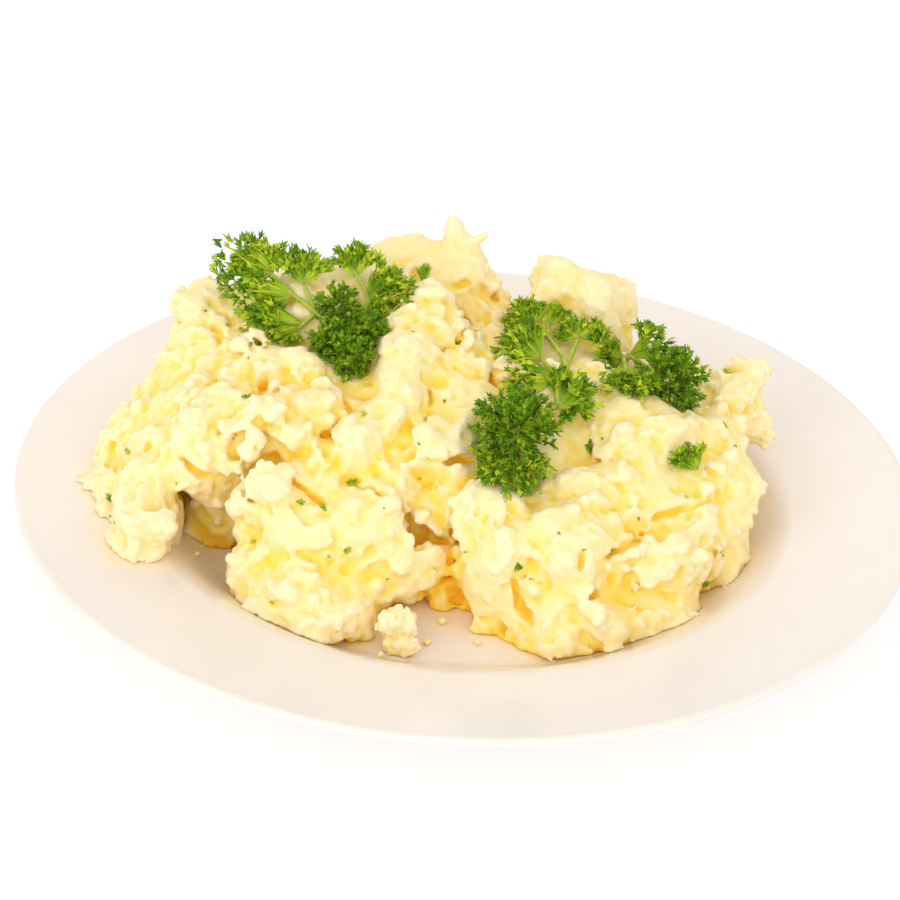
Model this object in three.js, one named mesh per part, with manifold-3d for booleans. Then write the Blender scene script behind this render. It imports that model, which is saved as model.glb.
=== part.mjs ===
// Mashed potato side: a coarse torn mound of mash on a round white plate, with curly parsley on top.
// Millimetres, +Z up. The origin lies under the middle of the plate's foot ring, and -Y is the eater's side.
import * as THREE from 'three';
import { mergeVertices } from 'three/addons/utils/BufferGeometryUtils.js';
import Module from 'manifold-3d';

const wasm = await Module();
wasm.setup();

const DEG = Math.PI / 180;
const CLEARANCE = 0.35; // gap kept between pieces that rest on each other
const dish = new THREE.Group();

// ---------------------------------------------------------------- closed meshes and their joins

// One closed mesh: only positions, shared vertices merged, and the slivers at a pole dropped.
function welded(geometry) {
  const bare = new THREE.BufferGeometry();
  bare.setAttribute('position', geometry.getAttribute('position'));
  if (geometry.index) bare.setIndex(geometry.index);
  const merged = mergeVertices(bare, 1e-3);
  const index = merged.index.array;
  const kept = [];
  for (let i = 0; i < index.length; i += 3) {
    const [a, b, c] = [index[i], index[i + 1], index[i + 2]];
    if (a !== b && b !== c && c !== a) kept.push(a, b, c);
  }
  merged.setIndex(kept);
  return merged;
}

function solidOf(geometry) {
  const mesh = welded(geometry);
  return new wasm.Manifold(new wasm.Mesh({
    numProp: 3,
    vertProperties: new Float32Array(mesh.getAttribute('position').array),
    triVerts: new Uint32Array(mesh.index.array),
  }));
}

function geometryOf(solid) {
  const mesh = solid.getMesh();
  const geometry = new THREE.BufferGeometry();
  geometry.setAttribute('position', new THREE.BufferAttribute(new Float32Array(mesh.vertProperties), 3));
  geometry.setIndex(new THREE.BufferAttribute(new Uint32Array(mesh.triVerts), 1));
  geometry.computeVertexNormals();
  return geometry;
}

// The largest body of a cut solid with its close vertices merged; loose scraps that a cut leaves are dropped.
function largest(solid) {
  return solidOf(geometryOf(solid)).decompose()
    .reduce((best, body) => (body.volume() > best.volume() ? body : best));
}

function joined(solids) {
  return solids.reduce((all, next) => all.add(next));
}

function addPart(name, geometry, material) {
  const mesh = new THREE.Mesh(geometry, material);
  mesh.name = name;
  dish.add(mesh);
}

// ---------------------------------------------------------------- plate: glazed stoneware, 247 mm

const PLATE_R = 123.5;
const RIM_Z = 22; // height of the lip
const WELL_R = 70;
const WELL_Z = 6.5; // floor of the well
const SHOULDER_R = 92;
const SHOULDER_Z = 17.5;
const WELL_WALL = 4.3;
const RIM_WALL = 2.2;
const LIP_R = 1; // rounding of the rim's edge
const FOOT_IN = 62;
const FOOT_OUT = 67;
const PLATE_SIDES = 48;

const glaze = new THREE.MeshStandardMaterial({ color: 0xf8f3ec, roughness: 0.12, metalness: 0 });

// Height of the plate's upper face: flat well, an eased bowl up to the shoulder, a gently rising rim.
function plateTop(r) {
  if (r <= WELL_R) return WELL_Z;
  if (r <= SHOULDER_R) {
    const t = (r - WELL_R) / (SHOULDER_R - WELL_R);
    return WELL_Z + (SHOULDER_Z - WELL_Z) * t * t * (3 - 2 * t);
  }
  return SHOULDER_Z + (RIM_Z - SHOULDER_Z) * (r - SHOULDER_R) / (PLATE_R - SHOULDER_R);
}

// Upper face from the lip in to the middle, lifted by a gap.
function upperProfile(outerR, lift) {
  const bowlSteps = 5;
  const points = [new THREE.Vector2(outerR, plateTop(outerR) + lift)];
  for (let i = bowlSteps; i >= 0; i--) {
    const r = WELL_R + (SHOULDER_R - WELL_R) * i / bowlSteps;
    points.push(new THREE.Vector2(r, plateTop(r) + lift));
  }
  points.push(new THREE.Vector2(0, WELL_Z + lift));
  return points;
}

function plateGeometry() {
  const under = WELL_Z - WELL_WALL;
  const rimUnder = RIM_Z - RIM_WALL;
  const profile = [
    [0, under],
    [FOOT_IN - 1.5, under],
    [FOOT_IN, 0],
    [FOOT_OUT, 0],
    [FOOT_OUT + 2, under],
    [SHOULDER_R + 2, SHOULDER_Z - WELL_WALL],
    [PLATE_R - LIP_R, rimUnder],
    [PLATE_R, rimUnder + LIP_R],
    [PLATE_R, RIM_Z - LIP_R],
  ].map(([r, z]) => new THREE.Vector2(r, z));
  return turned([...profile, ...upperProfile(PLATE_R - LIP_R, 0)]);
}

// A profile of (radius, height) turned round the Z axis.
function turned(profile) {
  return welded(new THREE.LatheGeometry(profile, PLATE_SIDES)).rotateX(Math.PI / 2);
}

addPart('plate', plateGeometry(), glaze);

// Everything from just above the plate's upper face down, to cut what lies on it.
function belowPlateTop() {
  const depth = -30;
  const outer = PLATE_R + 10;
  return solidOf(turned([
    new THREE.Vector2(0, depth),
    new THREE.Vector2(outer, depth),
    ...upperProfile(outer, CLEARANCE),
  ]));
}

const plateCutter = belowPlateTop();

// ---------------------------------------------------------------- mash: torn lumps pressed together

const mashColour = new THREE.MeshStandardMaterial({ color: 0xfdea9c, roughness: 0.55, metalness: 0 });

// One lump: middle, half sizes, and its turn about Z, dip towards the front and lean to the side.
function lump(middle, half, { turn = 0, dip = 0, lean = 0 } = {}) {
  const pose = new THREE.Matrix4().makeTranslation(...middle)
    .multiply(new THREE.Matrix4().makeRotationZ(turn * DEG))
    .multiply(new THREE.Matrix4().makeRotationX(dip * DEG))
    .multiply(new THREE.Matrix4().makeRotationY(lean * DEG));
  return { half: new THREE.Vector3(...half), into: pose.invert() };
}

const LUMPS = Object.values({
  core: lump([2, 8, 16], [68, 44, 38]),
  coreLeft: lump([-62, 10, 14], [34, 28, 24]),
  leftFoot: lump([-85, -35, 23], [8, 15, 11.5], { dip: 22 }),
  leftToe: lump([-79.5, -45.5, 20], [5, 5.5, 6], { turn: 25 }),
  gapLump: lump([-67.5, -17, 12], [10, 9.5, 9.5]),
  leftEnd: lump([-91, -14, 18], [10, 13, 10]),
  leftKnee: lump([-85, -9, 25], [12, 12.5, 10], { lean: -20 }),
  leftSlab: lump([-76, -8, 32], [24, 13, 9], { dip: 10, lean: -30 }),
  leftBrow: lump([-80, -19, 34], [14, 8, 6], { dip: 35, lean: -22 }),
  leftCrumble: lump([-79.5, 8, 27], [9.5, 12, 9.5]),
  leftNub: lump([-85.5, 0, 34.5], [4, 5, 3.5]),
  leftMound: lump([-72, 26, 38.5], [12.5, 16, 19]),
  leftNeck: lump([-60, 14, 40], [18, 14, 12], { dip: 20, lean: -12 }),
  leftApron: lump([-64, -20, 36], [10, 12, 14], { dip: 10 }),
  apronFront: lump([-68, -27, 32], [8, 5, 9]),
  apronTongue: lump([-57, -25, 41], [5.5, 7, 13], { dip: 30, lean: 22 }),
  slopeHigh: lump([-69, 9, 41], [17, 10, 6], { dip: 30, lean: -24 }),
  slopeLow: lump([-80.5, -6, 35], [11, 9, 5.5], { dip: 30, lean: -30 }),
  slopeRight: lump([-50, -5, 47], [13, 12, 6], { dip: 40 }),
  slopeRim: lump([-59, 14, 50], [7, 9, 8], { dip: 25 }),
  midSlab: lump([-42, -8, 38], [19, 17, 13], { dip: 25 }),
  midLap: lump([-42, -20, 33], [14, 11, 12]),
  midFace: lump([-44, -20, 43], [9, 13, 6], { turn: 8, dip: 50 }),
  backRidge: lump([-42, 32, 42], [26, 20, 22]),
  column: lump([-20, -15.5, 41.5], [8.5, 26, 12], { dip: 34 }),
  columnSide: lump([-27, -26, 40], [6, 11, 12], { dip: 20 }),
  columnFoot: lump([-17, -33, 35], [7, 8, 8]),
  brow: lump([-14, 12, 45], [14, 18, 17], { dip: 20 }),
  browFront: lump([-10, 16, 59], [9, 8, 6], { dip: 30 }),
  browRight: lump([-3, -6, 42], [8, 17, 12], { dip: 30 }),
  tongue: lump([-5, -25, 37], [10, 10, 12]),
  tongueTip: lump([-4, -33, 27], [8, 8, 9]),
  frontBall: lump([-32, -40, 21], [21, 18, 17]),
  frontSlope: lump([-36, -31, 32], [15, 12, 8], { dip: 32 }),
  frontCheek: lump([-50, -34, 25], [10, 12, 14]),
  frontBump: lump([-48, -39, 34], [7, 7, 11], { dip: 15 }),
  frontJaw: lump([-16, -40, 22], [14, 14, 13]),
  frontShelf: lump([-20, -45, 34], [9, 7, 4.5], { turn: -8, dip: 12 }),
  frontNose: lump([-13, -45, 21], [9, 9, 8], { turn: 20 }),
  frontToe: lump([-36, -51, 12], [18, 18, 9]),
  frontHeel: lump([-48, -46, 14], [10, 11, 9]),
  mouthLobe: lump([-2.5, -34, 12], [9, 8.5, 11]),
  rightPost: lump([12, -44, 20], [10, 17, 18]),
  rightPostTop: lump([10, -39, 35], [9, 8, 8]),
  rightBall: lump([27, -43, 20], [17, 17, 15]),
  rightBrow: lump([27, -46, 28], [15, 8, 10], { dip: 25 }),
  rightCheek: lump([48, -37, 19], [17, 17, 16]),
  rightSide: lump([62, -20, 20], [14, 16, 15]),
  rightToe: lump([32, -53, 11], [15, 16, 9]),
  rightSole: lump([50, -42, 12], [14, 14, 9]),
  rightSlab: lump([52, -22, 35], [26, 15, 6.5], { turn: 33, dip: 26 }),
  rightStep: lump([60, -33, 27], [9, 8, 8]),
  rightLumpA: lump([44, -3, 37], [12, 11, 9], { dip: 20 }),
  rightLumpB: lump([61, -3, 35], [11, 11, 9], { dip: 20 }),
  rightLumpC: lump([33, -14, 35], [10, 12, 9], { dip: 20 }),
  rightLumpD: lump([18, -10, 36], [14, 16, 12], { dip: 20 }),
  rightRise: lump([30, -34, 34], [13, 9, 7], { dip: 30 }),
  rightKnobA: lump([39, -7, 43], [6, 6, 6]),
  rightKnobB: lump([47, -8, 42], [6, 6, 5.5]),
  rightKnobC: lump([53, -15, 42], [5, 5, 5]),
  saddle: lump([5, 6, 40], [10, 16, 13], { dip: 20 }),
  saddleBack: lump([4, 20, 43], [10, 13, 13]),
  saddleKnob: lump([5, 38, 50], [7, 9, 8]),
  rightBack: lump([56, 18, 32], [20, 20, 14]),
  ear: lump([74, 18, 38.5], [10, 9, 8.5]),
  earTip: lump([79.5, 12, 33], [6.5, 7, 6], { lean: -15 }),
  crest: lump([-8.5, 42, 52], [12.5, 13, 16]),
  crestLeft: lump([-22, 46, 53], [12, 11, 14]),
  crestTop: lump([-4, 42, 65], [5.5, 7, 4.5]),
  crestTip: lump([-8.7, 43, 69], [2.3, 2.8, 6.5]),
  crestCap: lump([-8.9, 43, 73.2], [2.3, 2.8, 2.6]),
  crestHorn: lump([-3.6, 42, 70.3], [6.8, 2.2, 1.3], { lean: -44 }),
  knob: lump([20.5, 40, 50], [9, 12, 14]),
  knobTip: lump([22, 42, 61], [4.2, 5, 6]),
  dome: lump([33.5, 38, 48], [12, 13, 15]),
});

// Crevices and the hollows under overhanging lumps.
const HOLLOWS = Object.values({
  underApron: lump([-66, -39, 11], [11, 12, 9]),
  splitLeft: lump([-52, -34, 37], [3.5, 9, 11], { lean: 25 }),
  mouth: lump([-2, -51, 10], [9, 8, 7]),
  throat: lump([-12, -44, 26], [3, 5, 6], { lean: 20 }),
  underSlab: lump([60, -40, 36], [18, 5, 3.5], { turn: 30, lean: -12 }),
});

const BLEND = 4.0; // how softly one lump runs into the next
const CREASE = 1.2; // how softly a hollow's edge is rounded

const SQUARE = 2.5; // how boxy a lump is: 2 is an ellipsoid

const query = new THREE.Vector3();

// Distance from a point to a lump's skin, negative inside.
function lumpDistance(x, y, z, { half, into }) {
  query.set(x, y, z).applyMatrix4(into);
  const sides = [query.x / half.x, query.y / half.y, query.z / half.z].map(Math.abs);
  const reach = sides.reduce((sum, side) => sum + side ** SQUARE, 0) ** (1 / SQUARE);
  const slope = Math.hypot(...sides.map((side, a) => side ** (SQUARE - 1) / half.getComponent(a)));
  return (reach - 1) * reach ** (SQUARE - 1) / (slope + 1e-9);
}

function softMin(a, b, softness) {
  const h = Math.max(softness - Math.abs(a - b), 0) / softness;
  return Math.min(a, b) - h * h * softness / 4;
}

// The slow wobble that keeps the lumps from being true ellipsoids.
function wobble(x, y, z) {
  const slow = 2.0;
  const quick = 0.8;
  const { sin } = Math;
  return [
    x + slow * sin(y / 9 + 1.3 * sin(z / 13 + 0.5) + 0.3) + quick * sin(z / 3.7 + y / 5.1),
    y + slow * sin(z / 8 + 1.1 * sin(x / 15) + 1.9) + quick * sin(x / 4.1 + z / 4.9 + 0.7),
    z + slow * 0.7 * sin(x / 10 + 1.2 * sin(y / 12) + 0.9) + quick * sin(y / 3.9 + x / 5.3 + 2.1),
  ];
}

function mashDistance(x, y, z) {
  const [u, v, w] = wobble(x, y, z);
  let distance = Infinity;
  for (const one of LUMPS) {
    const next = lumpDistance(u, v, w, one);
    distance = distance === Infinity ? next : softMin(distance, next, BLEND);
  }
  for (const one of HOLLOWS) {
    distance = -softMin(-distance, lumpDistance(u, v, w, one), CREASE);
  }
  return distance;
}

// The skin where a distance is 0: one vertex in each cell that the skin crosses, joined by quads.
function skinOf(distance, low, high, cell) {
  const count = low.map((l, a) => Math.ceil((high[a] - l) / cell) + 1);
  const at = (i, j, k) => (i * count[1] + j) * count[2] + k;
  const value = new Float64Array(count[0] * count[1] * count[2]);
  const inside = new Uint8Array(value.length);
  for (let i = 0; i < count[0]; i++) {
    for (let j = 0; j < count[1]; j++) {
      for (let k = 0; k < count[2]; k++) {
        const edge = i === 0 || j === 0 || k === 0
          || i === count[0] - 1 || j === count[1] - 1 || k === count[2] - 1;
        const d = distance(low[0] + i * cell, low[1] + j * cell, low[2] + k * cell);
        value[at(i, j, k)] = edge ? Math.max(d, cell / 4) : d;
        inside[at(i, j, k)] = value[at(i, j, k)] < 0 ? 1 : 0;
      }
    }
  }
  fillPinches(inside, count, at);
  for (let n = 0; n < value.length; n++) {
    if (inside[n] && value[n] >= 0) value[n] = -0.02 * cell;
  }

  const corners = [0, 1, 2, 3, 4, 5, 6, 7].map((c) => [c & 1, (c >> 1) & 1, (c >> 2) & 1]);
  const vertexOf = new Int32Array(value.length).fill(-1);
  const positions = [];
  for (let i = 0; i < count[0] - 1; i++) {
    for (let j = 0; j < count[1] - 1; j++) {
      for (let k = 0; k < count[2] - 1; k++) {
        const grid = corners.map(([a, b, c]) => at(i + a, j + b, k + c));
        const sum = [0, 0, 0];
        let crossings = 0;
        for (let p = 0; p < 8; p++) {
          for (const bit of [1, 2, 4]) {
            const q = p | bit;
            if (q === p || inside[grid[p]] === inside[grid[q]]) continue;
            const t = value[grid[p]] / (value[grid[p]] - value[grid[q]]);
            corners[p].forEach((v, a) => { sum[a] += v + (corners[q][a] - v) * t; });
            crossings++;
          }
        }
        if (!crossings) continue;
        vertexOf[at(i, j, k)] = positions.length / 3;
        positions.push(...[i, j, k].map((v, a) => low[a] + (v + sum[a] / crossings) * cell));
      }
    }
  }

  const index = [];
  const point = (n) => new THREE.Vector3().fromArray(positions, n * 3);
  for (let i = 0; i < count[0] - 1; i++) {
    for (let j = 0; j < count[1] - 1; j++) {
      for (let k = 0; k < count[2] - 1; k++) {
        for (let axis = 0; axis < 3; axis++) {
          const step = [0, 1, 2].map((a) => (a === axis ? 1 : 0));
          if ([i, j, k].some((v, a) => a !== axis && v === 0)) continue;
          const here = inside[at(i, j, k)];
          const there = inside[at(i + step[0], j + step[1], k + step[2])];
          if (here === there) continue;
          const around = [[0, 0], [-1, 0], [-1, -1], [0, -1]].map(([u, v]) => {
            const c = [i, j, k];
            c[(axis + 1) % 3] += u;
            c[(axis + 2) % 3] += v;
            return vertexOf[at(...c)];
          });
          if (there) around.reverse();
          const [a, b, c, d] = around;
          const short = point(a).distanceTo(point(c)) <= point(b).distanceTo(point(d));
          index.push(...(short ? [a, b, c, a, c, d] : [a, b, d, b, c, d]));
        }
      }
    }
  }
  const geometry = new THREE.BufferGeometry();
  geometry.setAttribute('position', new THREE.Float32BufferAttribute(positions, 3));
  geometry.setIndex(index);
  return geometry;
}

// Fills each grid face whose filled corners only touch across it, where the skin would pinch to an edge.
function fillPinches(inside, count, at) {
  let changed = true;
  while (changed) {
    changed = false;
    for (let i = 0; i < count[0] - 1; i++) {
      for (let j = 0; j < count[1] - 1; j++) {
        for (let k = 0; k < count[2] - 1; k++) {
          for (const [u, v] of [[[1, 0, 0], [0, 1, 0]], [[0, 1, 0], [0, 0, 1]], [[1, 0, 0], [0, 0, 1]]]) {
            const a = at(i, j, k);
            const b = at(i + u[0], j + u[1], k + u[2]);
            const c = at(i + v[0], j + v[1], k + v[2]);
            const d = at(i + u[0] + v[0], j + u[1] + v[1], k + u[2] + v[2]);
            if (inside[a] && inside[d] && !inside[b] && !inside[c]) {
              inside[b] = 1;
              changed = true;
            } else if (inside[b] && inside[c] && !inside[a] && !inside[d]) {
              inside[a] = 1;
              changed = true;
            }
          }
        }
      }
    }
  }
}

const MASH_LOW = [-118, -80, 0];
const MASH_HIGH = [100, 76, 90];
const MASH_CELL = 5.3;

const mashBody = largest(
  solidOf(skinOf(mashDistance, MASH_LOW, MASH_HIGH, MASH_CELL)).subtract(plateCutter),
);

// Flakes of chopped parsley pressed into the mash: a point near the skin, then length, width and turn.
const FLAKES = [
  [[-61, -21, 50], 4.6, 1.6, 50],
  [[-89, -18, 32], 2.8, 2.0, 20],
  [[-94, -23, 21], 2.6, 1.8, 80],
  [[-58, -30, 30], 3.2, 2.0, 10],
  [[-49, -31, 38], 2.0, 1.6, 0],
  [[-30, -40, 41], 4.8, 3.0, 120],
  [[-36, -48, 38], 3.2, 1.8, 160],
  [[-42, -47, 37], 2.8, 1.8, 40],
  [[-29, -54, 28], 2.6, 2.0, 0],
  [[-53, -46, 19], 2.4, 1.6, 20],
  [[-27, -27, 51], 2.6, 1.6, 30],
  [[-5, 6, 56], 4.4, 2.2, 30],
  [[33, -20, 43], 4.6, 2.6, 170],
  [[71, 16, 43], 3.2, 2.4, 150],
  [[64, -8, 42], 3.2, 1.8, 160],
  [[12, -54, 28], 3.2, 2.6, 140],
  [[37, -47, 30], 2.4, 1.8, 0],
  [[66, -35, 12], 3.4, 2.4, 100],
  [[-15, 35, 64], 6, 4.4, 60],
];
const FLAKE_DEPTH = 2.4;

function outward(x, y, z) {
  const e = 0.5;
  return new THREE.Vector3(
    mashDistance(x + e, y, z) - mashDistance(x - e, y, z),
    mashDistance(x, y + e, z) - mashDistance(x, y - e, z),
    mashDistance(x, y, z + e) - mashDistance(x, y, z - e),
  ).normalize();
}

// The nearest point of the skin, reached by stepping along the distance's slope.
function ontoSkin(point) {
  const place = new THREE.Vector3(...point);
  for (let step = 0; step < 4; step++) {
    place.addScaledVector(outward(...place), -mashDistance(...place));
  }
  return place;
}

function flake([near, length, width, turn]) {
  const place = ontoSkin(near);
  const tilt = new THREE.Quaternion().setFromUnitVectors(new THREE.Vector3(0, 1, 0), outward(...place));
  return solidOf(new THREE.CylinderGeometry(0.4, 0.5, FLAKE_DEPTH, 5, 1)
    .scale(length, 1, width)
    .rotateY(turn * DEG)
    .applyQuaternion(tilt)
    .translate(...place));
}

addPart('mash', geometryOf(largest(joined([mashBody, ...FLAKES.map(flake)]))), mashColour);

// ---------------------------------------------------------------- a crumb that has dropped on the plate

const CRUMB_LUMPS = [
  lump([-16, -66, 11.5], [3.9, 3.7, 6], { lean: -10 }),
  lump([-13.8, -67.3, 8.8], [3.4, 3.4, 3.4], { turn: 20 }),
  lump([-17.8, -67, 15.6], [2.4, 2.5, 2.6], { turn: 35 }),
  lump([-13, -66, 14.6], [2.8, 2.6, 2.6], { turn: 15 }),
];
const CRUMB_CELL = 2.4;
const CRUMB_BLEND = 1.8;

function crumbDistance(x, y, z) {
  return CRUMB_LUMPS.reduce((d, one) => softMin(d, lumpDistance(x, y, z, one), CRUMB_BLEND), 50);
}

addPart('mash_crumb', geometryOf(largest(
  solidOf(skinOf(crumbDistance, [-26, -76, 2], [-4, -56, 26], CRUMB_CELL)).subtract(plateCutter),
)), mashColour);

// ---------------------------------------------------------------- curly parsley: sprigs laid on the mash

const leafGreen = new THREE.MeshStandardMaterial({ color: 0x3f7d1e, roughness: 0.5, metalness: 0 });

const LEAF_THICK = 0.9;
const STEM_R = 1.1;
const STEM_SIDES = 4;
const PLEATS = 4; // folds across a single frond
const TUFT_PLEATS = 2;
const PLEAT_RISE = 0.12; // of the frond's length
const FROND_ROOT = 0.6; // from the foot to where the blade begins
const TOOTH_CUT = 0.2; // how far the notches between the teeth go in, of the frond's length
const LEAF_GAP = 0.8; // from the leaves to the mash's skin
const STEM_LIFT = 2.3; // from the mash's skin to the middle of a stem that lies on it
const HEART_LIFT = 0.2; // further for a tuft's heart, of the tuft's reach

const vector = (point) => new THREE.Vector3(...point);

// A frond: a thin pleated fan from its foot to its toothed edge, with both faces split alike.
function frond(foot, tip, spread, facing, pleats = PLEATS) {
  const start = vector(foot);
  const axis = vector(tip).sub(start);
  const length = axis.length();
  axis.normalize();
  const side = new THREE.Vector3().crossVectors(axis, vector(facing)).normalize();
  const normal = new THREE.Vector3().crossVectors(side, axis);
  const sheets = [];
  for (const sheet of [0.5, -0.5]) {
    for (let ray = 0; ray <= pleats; ray++) {
      const angle = (ray / pleats - 0.5) * spread * DEG;
      const notch = ray % 2;
      for (const ring of [0, 1]) {
        const reach = ring ? length * (1 - notch * TOOTH_CUT) : FROND_ROOT;
        const lift = ring * length * PLEAT_RISE * (notch ? -1 : 1) + sheet * LEAF_THICK;
        sheets.push(start.clone()
          .addScaledVector(axis, reach * Math.cos(angle))
          .addScaledVector(side, reach * Math.sin(angle))
          .addScaledVector(normal, lift));
      }
    }
  }
  const at = (sheet, ray, ring) => (sheet * (pleats + 1) + ray) * 2 + ring;
  const index = [];
  const quad = (a, b, c, d) => index.push(a, b, c, a, c, d);
  for (let ray = 0; ray < pleats; ray++) {
    const [a, b, c, d] = [at(0, ray, 0), at(0, ray, 1), at(0, ray + 1, 1), at(0, ray + 1, 0)];
    const under = at(1, 0, 0);
    index.push(a, c, b, a, d, c);
    index.push(a + under, b + under, c + under, a + under, c + under, d + under);
    quad(b, c, c + under, b + under);
    quad(d, a, a + under, d + under);
  }
  const [last, lower] = [at(0, pleats, 0), at(1, 0, 0)];
  quad(0, 1, 1 + lower, lower);
  quad(last + 1, last, last + lower, last + 1 + lower);
  const geometry = new THREE.BufferGeometry().setFromPoints(sheets);
  geometry.setIndex(index);
  return solidOf(geometry);
}

// A tuft: fronds that stand out all round from one small heart, on the side that its sprig faces.
function tuft({ heart, reach, count }, facing) {
  const up = vector(facing).normalize();
  const across = new THREE.Vector3().crossVectors(up, new THREE.Vector3(0, 0, 1)).normalize();
  const along = new THREE.Vector3().crossVectors(across, up);
  const golden = Math.PI * (3 - Math.sqrt(5));
  const heartR = 0.3 * reach;
  const fronds = [solidOf(new THREE.IcosahedronGeometry(heartR, 0).translate(...heart))];
  for (let i = 0; i < count; i++) {
    const rise = 0.9 * (1 - (i + 0.5) / count); // 0 lies in the sprig's face, 1 stands straight out of it
    const flat = Math.sqrt(1 - rise * rise);
    const outwards = up.clone().multiplyScalar(rise)
      .addScaledVector(across, flat * Math.cos(i * golden))
      .addScaledVector(along, flat * Math.sin(i * golden));
    const foot = vector(heart).addScaledVector(outwards, heartR * 0.5);
    const tip = vector(heart).addScaledVector(outwards, reach);
    const leafFacing = up.clone().addScaledVector(outwards, -1.2).normalize();
    fronds.push(frond(foot.toArray(), tip.toArray(), 85, leafFacing.toArray(), TUFT_PLEATS));
  }
  return fronds;
}

// A point of a sprig, lifted off the mash where it would lie in it.
function lifted(point, lift = STEM_LIFT) {
  const place = vector(point);
  for (let step = 0; step < 4; step++) {
    const short = lift - mashDistance(...place);
    if (short > 0) place.addScaledVector(outward(...place), short);
  }
  return place.toArray();
}

function stem(from, to) {
  const [start, end] = [vector(from), vector(to)];
  const run = end.clone().sub(start);
  const length = run.length() + 2 * STEM_R;
  const turn = new THREE.Quaternion().setFromUnitVectors(new THREE.Vector3(0, 1, 0), run.normalize());
  return solidOf(new THREE.CylinderGeometry(STEM_R * 0.8, STEM_R, length, STEM_SIDES)
    .applyQuaternion(turn)
    .translate(...start.add(end).multiplyScalar(0.5)));
}

// Each sprig: the way it faces, its stems from point to point, its single fronds
// (foot, tip, spread in degrees), and its dense tufts.
const SPRIGS = {
  parsley_left: {
    facing: [0, -0.86, 0.5],
    stems: [
      [[-36.5, 12, 55], [-30, 16, 60], [-30, 20, 64], [-34.5, 26, 69]],
      [[-36.5, 12, 55], [-43, 15, 59], [-49.5, 19, 62], [-57, 24, 67]],
      [[-43, 15, 59], [-47.5, 21, 65]],
      [[-43, 15, 59], [-48.5, 12, 55]],
      [[-36.5, 12, 55], [-38, 5, 54], [-41, -1.5, 53.5]],
      [[-38, 5, 54], [-33, -2.5, 53.5]],
    ],
    fronds: [
      [[-56, 24, 67], [-77.5, 23, 66], 52],
      [[-56, 24, 67], [-72, 29, 72], 48],
      [[-56, 24, 67], [-64.5, 30, 74], 38],
      [[-55, 24, 67], [-57, 30, 74], 32],
      [[-49.5, 19, 62], [-70, 20, 62], 48],
      [[-49.5, 19, 62], [-64.5, 16, 58], 45],
      [[-47.5, 21, 65], [-52.5, 28, 73], 50],
      [[-47.5, 21, 65], [-43, 28, 72], 42],
      [[-46, 13, 57], [-65.5, 13, 55], 46],
      [[-46, 13, 57], [-61.5, 10, 52], 46],
      [[-48.5, 12, 55], [-50.5, 3, 49], 55],
      [[-33.5, 24, 67], [-38.5, 30, 74], 50],
      [[-33.5, 24, 67], [-30, 30, 75], 46],
      [[-30, 20, 64], [-21.5, 26, 71], 50],
      [[-30, 18, 62], [-15, 21, 67], 55],
      [[-30, 16, 60], [-19, 14, 60], 55],
    ],
    tufts: [
      { heart: [-38, 16, 60], reach: 7, count: 3 },
      { heart: [-35, 8, 55], reach: 9, count: 2 },
      { heart: [-41, -1.5, 53], reach: 7.5, count: 2 },
      { heart: [-33, -2.5, 53], reach: 7.5, count: 2 },
      { heart: [-26, 7, 56], reach: 7.5, count: 2 },
    ],
  },
  parsley_centre: {
    facing: [0, -0.75, 0.66],
    stems: [
      [[23.5, -15, 51.5], [25.5, 1, 54.5], [20.5, 14, 56.5], [16.5, 22, 56.5]],
      [[20.5, 14, 56.5], [20.5, 22, 56.5]],
      [[25.5, 1, 54.5], [28.5, 15, 54.5]],
      [[23.5, -15, 51.5], [22.5, -5, 54.5], [18.5, 4, 55.5]],
      [[23.5, -15, 51.5], [13.5, -22, 50.5], [13, -28, 49.5], [12.5, -33, 46.5]],
    ],
    fronds: [
      [[16.5, 22, 56.5], [7.5, 25, 57.5], 75],
      [[16.5, 22, 56.5], [15.5, 30, 61.5], 65],
      [[20.5, 22, 56.5], [25.5, 28, 59.5], 65],
      [[28.5, 15, 54.5], [22.5, 19, 57.5], 60],
      [[28.5, 15, 54.5], [31.5, 24, 57.5], 70],
      [[28.5, 15, 54.5], [37.5, 18, 57.5], 50],
      [[18.5, 4, 55.5], [8.5, 19, 56.5], 65],
      [[18.5, 4, 55.5], [6.5, 10, 56.5], 60],
      [[22.7, -6, 54.3], [6, -6, 55.5], 48],
      [[23.5, -14, 51.5], [26.5, -1, 56.5], 50],
      [[23.5, -15, 51.5], [34.5, -11, 54.5], 60],
      [[23.5, -15, 51.5], [28.5, -20, 50.5], 60],
      [[12.5, -33, 46.5], [1, -39, 43], 55],
      [[12.5, -33, 46.5], [9, -50, 41.5], 60],
      [[12.5, -33, 46.5], [21, -43, 42], 55],
    ],
    tufts: [{ heart: [12, -25, 47.5], reach: 13.5, count: 7 }],
  },
  parsley_right: {
    facing: [0.1, -0.75, 0.66],
    stems: [
      [[38.7, 12, 47.5], [43.7, 19, 49.5], [46.7, 25, 51.5]],
      [[43.7, 19, 49.5], [51.7, 9, 49.5]],
      [[38.7, 12, 47.5], [40.7, 2, 49.5]],
    ],
    fronds: [
      [[46.7, 24, 51.5], [49.7, 31, 54.5], 48],
      [[43.7, 19, 49.5], [55.7, 25, 52.5], 58],
      [[38.7, 12, 47.5], [33.5, 17, 48.5], 50],
      [[38.7, 12, 47.5], [31.7, 8, 48.5], 60],
      [[40.7, 5, 48.5], [39.7, -12, 49.5], 50],
      [[40.7, 5, 48.5], [45.7, -10, 49.5], 50],
    ],
    tufts: [{ heart: [53.7, 6, 48.5], reach: 12, count: 6 }],
  },
  parsley_leaflet: {
    facing: [0.1, -0.6, 0.8],
    stems: [],
    fronds: [[[61, -26, 41], [54.8, -21.6, 46.4], 92]],
    tufts: [],
  },
};

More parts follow.
